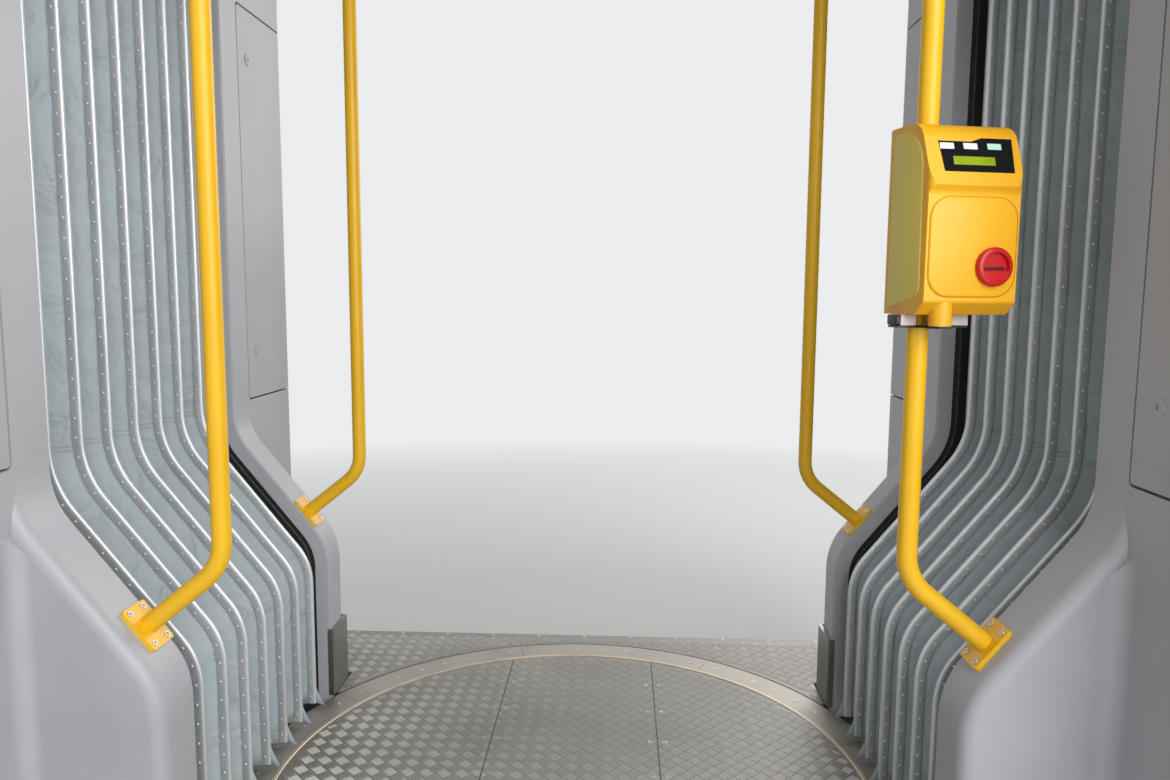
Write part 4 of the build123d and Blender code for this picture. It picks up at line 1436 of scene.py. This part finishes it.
    def plate(self, name: str, size: Plate) -> Piece:
        """Model a flat plate with round corners and a soft edge, standing on Z = 0.

        Args:
            name: Name of the piece.
            size: Its sizes.

        Returns:
            The plate.
        """
        plate = start(name, bpy.ops.mesh.primitive_plane_add, (size.width, size.height, 1.0), size=1.0)
        with editing(plate):
            bpy.ops.mesh.bevel(offset=size.corner, segments=8, affect="VERTICES")
        self.raise_plate(plate, size.depth, size.edge)
        return plate

    @staticmethod
    def raise_plate(plate: Piece, height: float, edge: float) -> None:
        """Give a flat outline its thickness and a soft front edge.

        Args:
            plate: The object with the outline on Z = 0.
            height: Thickness.
            edge: Radius of the front edge.
        """
        with editing(plate, "FACE"):
            bpy.ops.mesh.extrude_region_move(TRANSFORM_OT_translate={"value": (0, 0, height)})
            bpy.ops.mesh.select_all(action="SELECT")
            bpy.ops.mesh.normals_make_consistent(inside=False)
            select_where(plate, lambda co: co.z > 0.99 * height, "FACE")
            bpy.ops.mesh.bevel(offset=edge, segments=3, affect="EDGES")
        shade(40)

    def build_pad(self) -> None:
        """Build the raised card panel on the front."""
        pad = self.plate("validator_card_panel", self.pad)
        with editing(pad):
            select_where(pad, lambda co: co.z > 0.95 * self.pad.depth, "FACE")
            for inset, rise in self.pad_steps:
                bpy.ops.mesh.inset(thickness=inset, depth=rise)
        shade(70)
        self.finish(pad, self.front_place(*self.pad_place, self.pad_sunk), HOUSING)

    def side_cover(self, name: str, x: float, out: int) -> None:
        """Build one side cover, coloured with a painted grey sheen.

        Args:
            name: Name of the piece.
            x: Place of the housing's side.
            out: Minus one on the left, one on the right.
        """
        cover = start(name, bpy.ops.mesh.primitive_plane_add, size=1.0)
        for vertex, number in zip((0, 1, 3, 2), (0, 3, 2, 1)):
            cover.data.vertices[vertex].co = (*self.cover_corners[number][:2], 0.0)
        with editing(cover):
            for depth, rise, radius in self.cover_corners:
                select_where(cover, lambda co: (co.xy - Vector((depth, rise))).length < MM)
                bpy.ops.mesh.bevel(offset=radius, segments=10, affect="VERTICES")
        self.raise_plate(cover, self.cover_proud, self.cover_edge)
        side = Matrix(((0, 0, out, x), (1, 0, 0, 0), (0, 1, 0, self.low), (0, 0, 0, 1)))
        # The cover's paler, greener colour is a painted grey sheen on the yellow plastic
        self.finish(cover, side, SIDE_COVER_SHEEN)
        tidy_mesh(cover, 40.0)

    def build_knob(self) -> None:
        """Build the knob with its bowl, ledge and slot in place of the plain one."""
        top, reach, ledge = 0.99 * self.knob_depth, self.bowl_reach, self.ledge_y
        knob = start("validator_bowl_knob", bpy.ops.mesh.primitive_cylinder_add, vertices=48,
                     radius=self.knob_radius, depth=self.knob_depth, location=(0, 0, self.knob_depth / 2))
        with editing(knob):
            select_where(knob, lambda co: co.z > top, "FACE")
            bpy.ops.mesh.bevel(offset=self.knob_edge, segments=4, affect="EDGES")
            select_where(knob, lambda co: co.z > top, "FACE")
            bpy.ops.mesh.inset(thickness=self.knob_rim, depth=0.0)
            bpy.ops.mesh.bisect(plane_co=(0, ledge, 0), plane_no=(0, 1, 0))
            select_where(knob, lambda co: co.z > top and co.y > 0 and co.xy.length < reach, "FACE")
            bpy.ops.mesh.inset(thickness=self.wall_slope, depth=-self.bowl_depth)
            select_where(
                knob, lambda co: co.z > top and co.y < ledge - 0.5 * MM and co.xy.length < reach, "FACE"
            )
            bpy.ops.mesh.inset(thickness=self.wall_slope, depth=-self.ledge_depth)
        shade(35)
        seat = self.front_place(*self.knob_place)
        self.finish(knob, seat, KNOB)
        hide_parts("validator_knob")
        # The slot's floor plate is dark red: painted shade in the deep slot
        floor = Matrix.Translation((0, self.slot_y, self.knob_depth - self.bowl_depth - self.slot_sunk))
        self.finish(self.plate("validator_knob_slot", self.slot), seat @ floor, KNOB_SHADE)

    def build_clamp(self) -> None:
        """Build the slant-cornered bracket and the plate under it, in place of the plain ones."""
        high = self.low - self.bracket_height
        self.slab("validator_clamp_bracket", self.clamp_outline, (high, self.low), BRACKET,
                  "validator_bracket")
        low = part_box("validator_foot")[0].z
        self.slab("validator_clamp_plate", self.plate_outline, (low, high), FOOT, "validator_foot")

    def slab(
        self, name: str, outline: Sequence[tuple[float, float]], levels: tuple[float, float], finish: Finish,
        node: str,
    ) -> None:
        """Build one flat piece from its outline seen from above, in place of a CAD node.

        Args:
            name: Name of the piece.
            outline: Corners in order, in the validator's own frame.
            levels: Its lowest and highest place.
            finish: Its finish.
            node: The CAD node that it stands for.
        """
        slab = start(name, bpy.ops.mesh.primitive_circle_add, vertices=len(outline), fill_type="NGON")
        for vertex, corner in zip(slab.data.vertices, outline):
            vertex.co = (*corner, 0.0)
        self.raise_plate(slab, levels[1] - levels[0], self.bracket_edge)
        self.finish(slab, Matrix.Translation((0, 0, levels[0])), finish)
        tidy_mesh(slab, 40.0)
        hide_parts(node)


# Lights, floor and camera


BACKDROP = "#ECEDEE"


def seen_rays(tree: Tree) -> Socket:
    """Tell rays that the eye sees from rays that light.

    Args:
        tree: A node tree.

    Returns:
        One for rays from the camera, also after a mirror or glass, and zero for the others.
    """
    rays = add_node(tree, "ShaderNodeLightPath").outputs
    seen = rays["Is Camera Ray"]
    for other in ("Is Glossy Ray", "Is Transmission Ray"):
        both = add_node(tree, "ShaderNodeMath", {"operation": "MAXIMUM"}, {0: seen, 1: rays[other]})
        seen = both.outputs[0]
    return seen


@dataclass(frozen=True)
class FadingPaper(Finish):
    """Pale floor that fades into the background with distance, so that no horizon shows."""

    fade_from: float = 2.4
    fade_to: float = 6.5

    def build(self) -> bpy.types.Material:
        """Build the paper and let the background's colour take over further out.

        Returns:
            The material.
        """
        material = super().build()
        tree = material.node_tree
        paper = next(node for node in tree.nodes if node.type == "BSDF_PRINCIPLED")
        output = next(node for node in tree.nodes if node.type == "OUTPUT_MATERIAL")
        place = add_node(tree, "ShaderNodeTexCoord").outputs["Object"]
        away = add_node(tree, "ShaderNodeVectorMath", {"operation": "LENGTH"}, {0: place}).outputs["Value"]
        fade = add_node(
            tree, "ShaderNodeMapRange",
            sockets={"Value": away, "From Min": self.fade_from, "From Max": self.fade_to},
        ).outputs["Result"]
        share = add_node(
            tree, "ShaderNodeMath", {"operation": "MULTIPLY"}, {0: fade, 1: seen_rays(tree)}
        ).outputs[0]
        pale = add_node(tree, "ShaderNodeEmission", sockets={"Color": linear(BACKDROP), "Strength": 1.0})
        mix = add_node(
            tree, "ShaderNodeMixShader",
            sockets={0: share, 1: paper.outputs["BSDF"], 2: pale.outputs["Emission"]},
        )
        tree.links.new(mix.outputs[0], output.inputs["Surface"])
        return material


# Cut paper: pale and quite dull, so that it takes a soft shadow and no reflection
PAPER = FadingPaper("pale cut paper", "#DCDCDA", "#DADAD8", (0.7, 0.8), grain_height_mm=0.0, patch_mm=4000)


class Lamp(NamedTuple):
    """One soft rectangular lamp: its place, the point that it faces, its size and its power in watts."""

    name: str
    place: tuple[float, float, float]
    aim: tuple[float, float, float]
    size: tuple[float, float]
    power: float


@dataclass
class Studio:
    """Plain pale floor, soft lamps and the camera."""

    wardrobe: Wardrobe
    floor_size: float = 60.0
    sky: str = "#E6E8EA"
    sky_strength: float = 0.32
    lamps: tuple[Lamp, ...] = (
        Lamp("key", (1.45, -2.8, 2.5), (-0.8, -0.1, 1.2), (2.8, 2.8), 112.0),
        Lamp("fill", (-2.4, -3.4, 2.2), (0.7, 0.0, 1.1), (2.4, 2.4), 6.0),
        Lamp("back", (2.2, 4.4, 3.2), (-0.2, 0.0, 0.8), (3.2, 3.0), 80.0),
        Lamp("top", (0.0, 0.0, 5.5), (0.0, 0.0, 0.0), (4.0, 4.0), 90.0),
    )
    eye: tuple[float, float, float] = (0.101, -1.925, 1.425)
    right: tuple[float, float, float] = (0.99923, 0.03867, 0.00671)
    down: tuple[float, float, float] = (0.01098, -0.1113, -0.99373)
    forward: tuple[float, float, float] = (-0.03768, 0.99303, -0.11164)
    lens_mm: float = 26.93
    sensor_mm: float = 36.0

    def build(self) -> None:
        """Build floor, world, lamps and camera."""
        ground = start("studio_floor", bpy.ops.mesh.primitive_plane_add, size=self.floor_size)
        self.wardrobe.dress(ground, PAPER)
        self.world()
        for lamp in self.lamps:
            self.light(lamp)
        self.camera()

    def world(self) -> None:
        """Light the scene evenly and show a pale background."""
        world = bpy.data.worlds.new("studio")
        bpy.context.scene.world = world
        world.use_nodes = True
        tree = world.node_tree
        tree.nodes.clear()
        dim, pale = (
            add_node(tree, "ShaderNodeBackground", sockets={"Color": linear(colour), "Strength": strength})
            for colour, strength in ((self.sky, self.sky_strength), (BACKDROP, 1.0))
        )
        mix = add_node(
            tree, "ShaderNodeMixShader",
            sockets={0: seen_rays(tree), 1: dim.outputs["Background"], 2: pale.outputs["Background"]},
        )
        add_node(tree, "ShaderNodeOutputWorld", sockets={"Surface": mix.outputs[0]})

    def light(self, lamp: Lamp) -> None:
        """Hang one lamp."""
        data = bpy.data.lights.new(lamp.name, "AREA")
        data.shape = "RECTANGLE"
        data.size, data.size_y = lamp.size
        data.energy = lamp.power
        hung = bpy.data.objects.new(lamp.name, data)
        bpy.context.scene.collection.objects.link(hung)
        hung.location = lamp.place
        hung.rotation_euler = (Vector(lamp.aim) - Vector(lamp.place)).to_track_quat("-Z", "Y").to_euler()

    def camera(self) -> None:
        """Stand the camera where the photograph was taken from."""
        data = bpy.data.cameras.new("camera")
        data.sensor_fit = "HORIZONTAL"
        data.sensor_width = self.sensor_mm
        data.lens = self.lens_mm
        camera = bpy.data.objects.new("camera", data)
        bpy.context.scene.collection.objects.link(camera)
        columns = (Vector(self.right), -Vector(self.down), -Vector(self.forward))
        turn = Matrix([[c[k] for c in columns] for k in range(3)]).to_4x4()
        camera.matrix_world = Matrix.Translation(self.eye) @ turn
        bpy.context.scene.camera = camera
        bpy.context.scene.view_settings.view_transform = "Standard"


def main() -> None:
    """Dress the CAD nodes, build the new pieces and light them."""
    logging.basicConfig(level=logging.INFO, format="%(message)s")
    wardrobe = Wardrobe()
    wardrobe.dress_cad()
    for section in (Bellows, Hoops, TreadPlates, Seals, FlangeScrews, HeaderLenses, Validator, Studio):
        section(wardrobe).build()


if __name__ == "__main__":
    main()
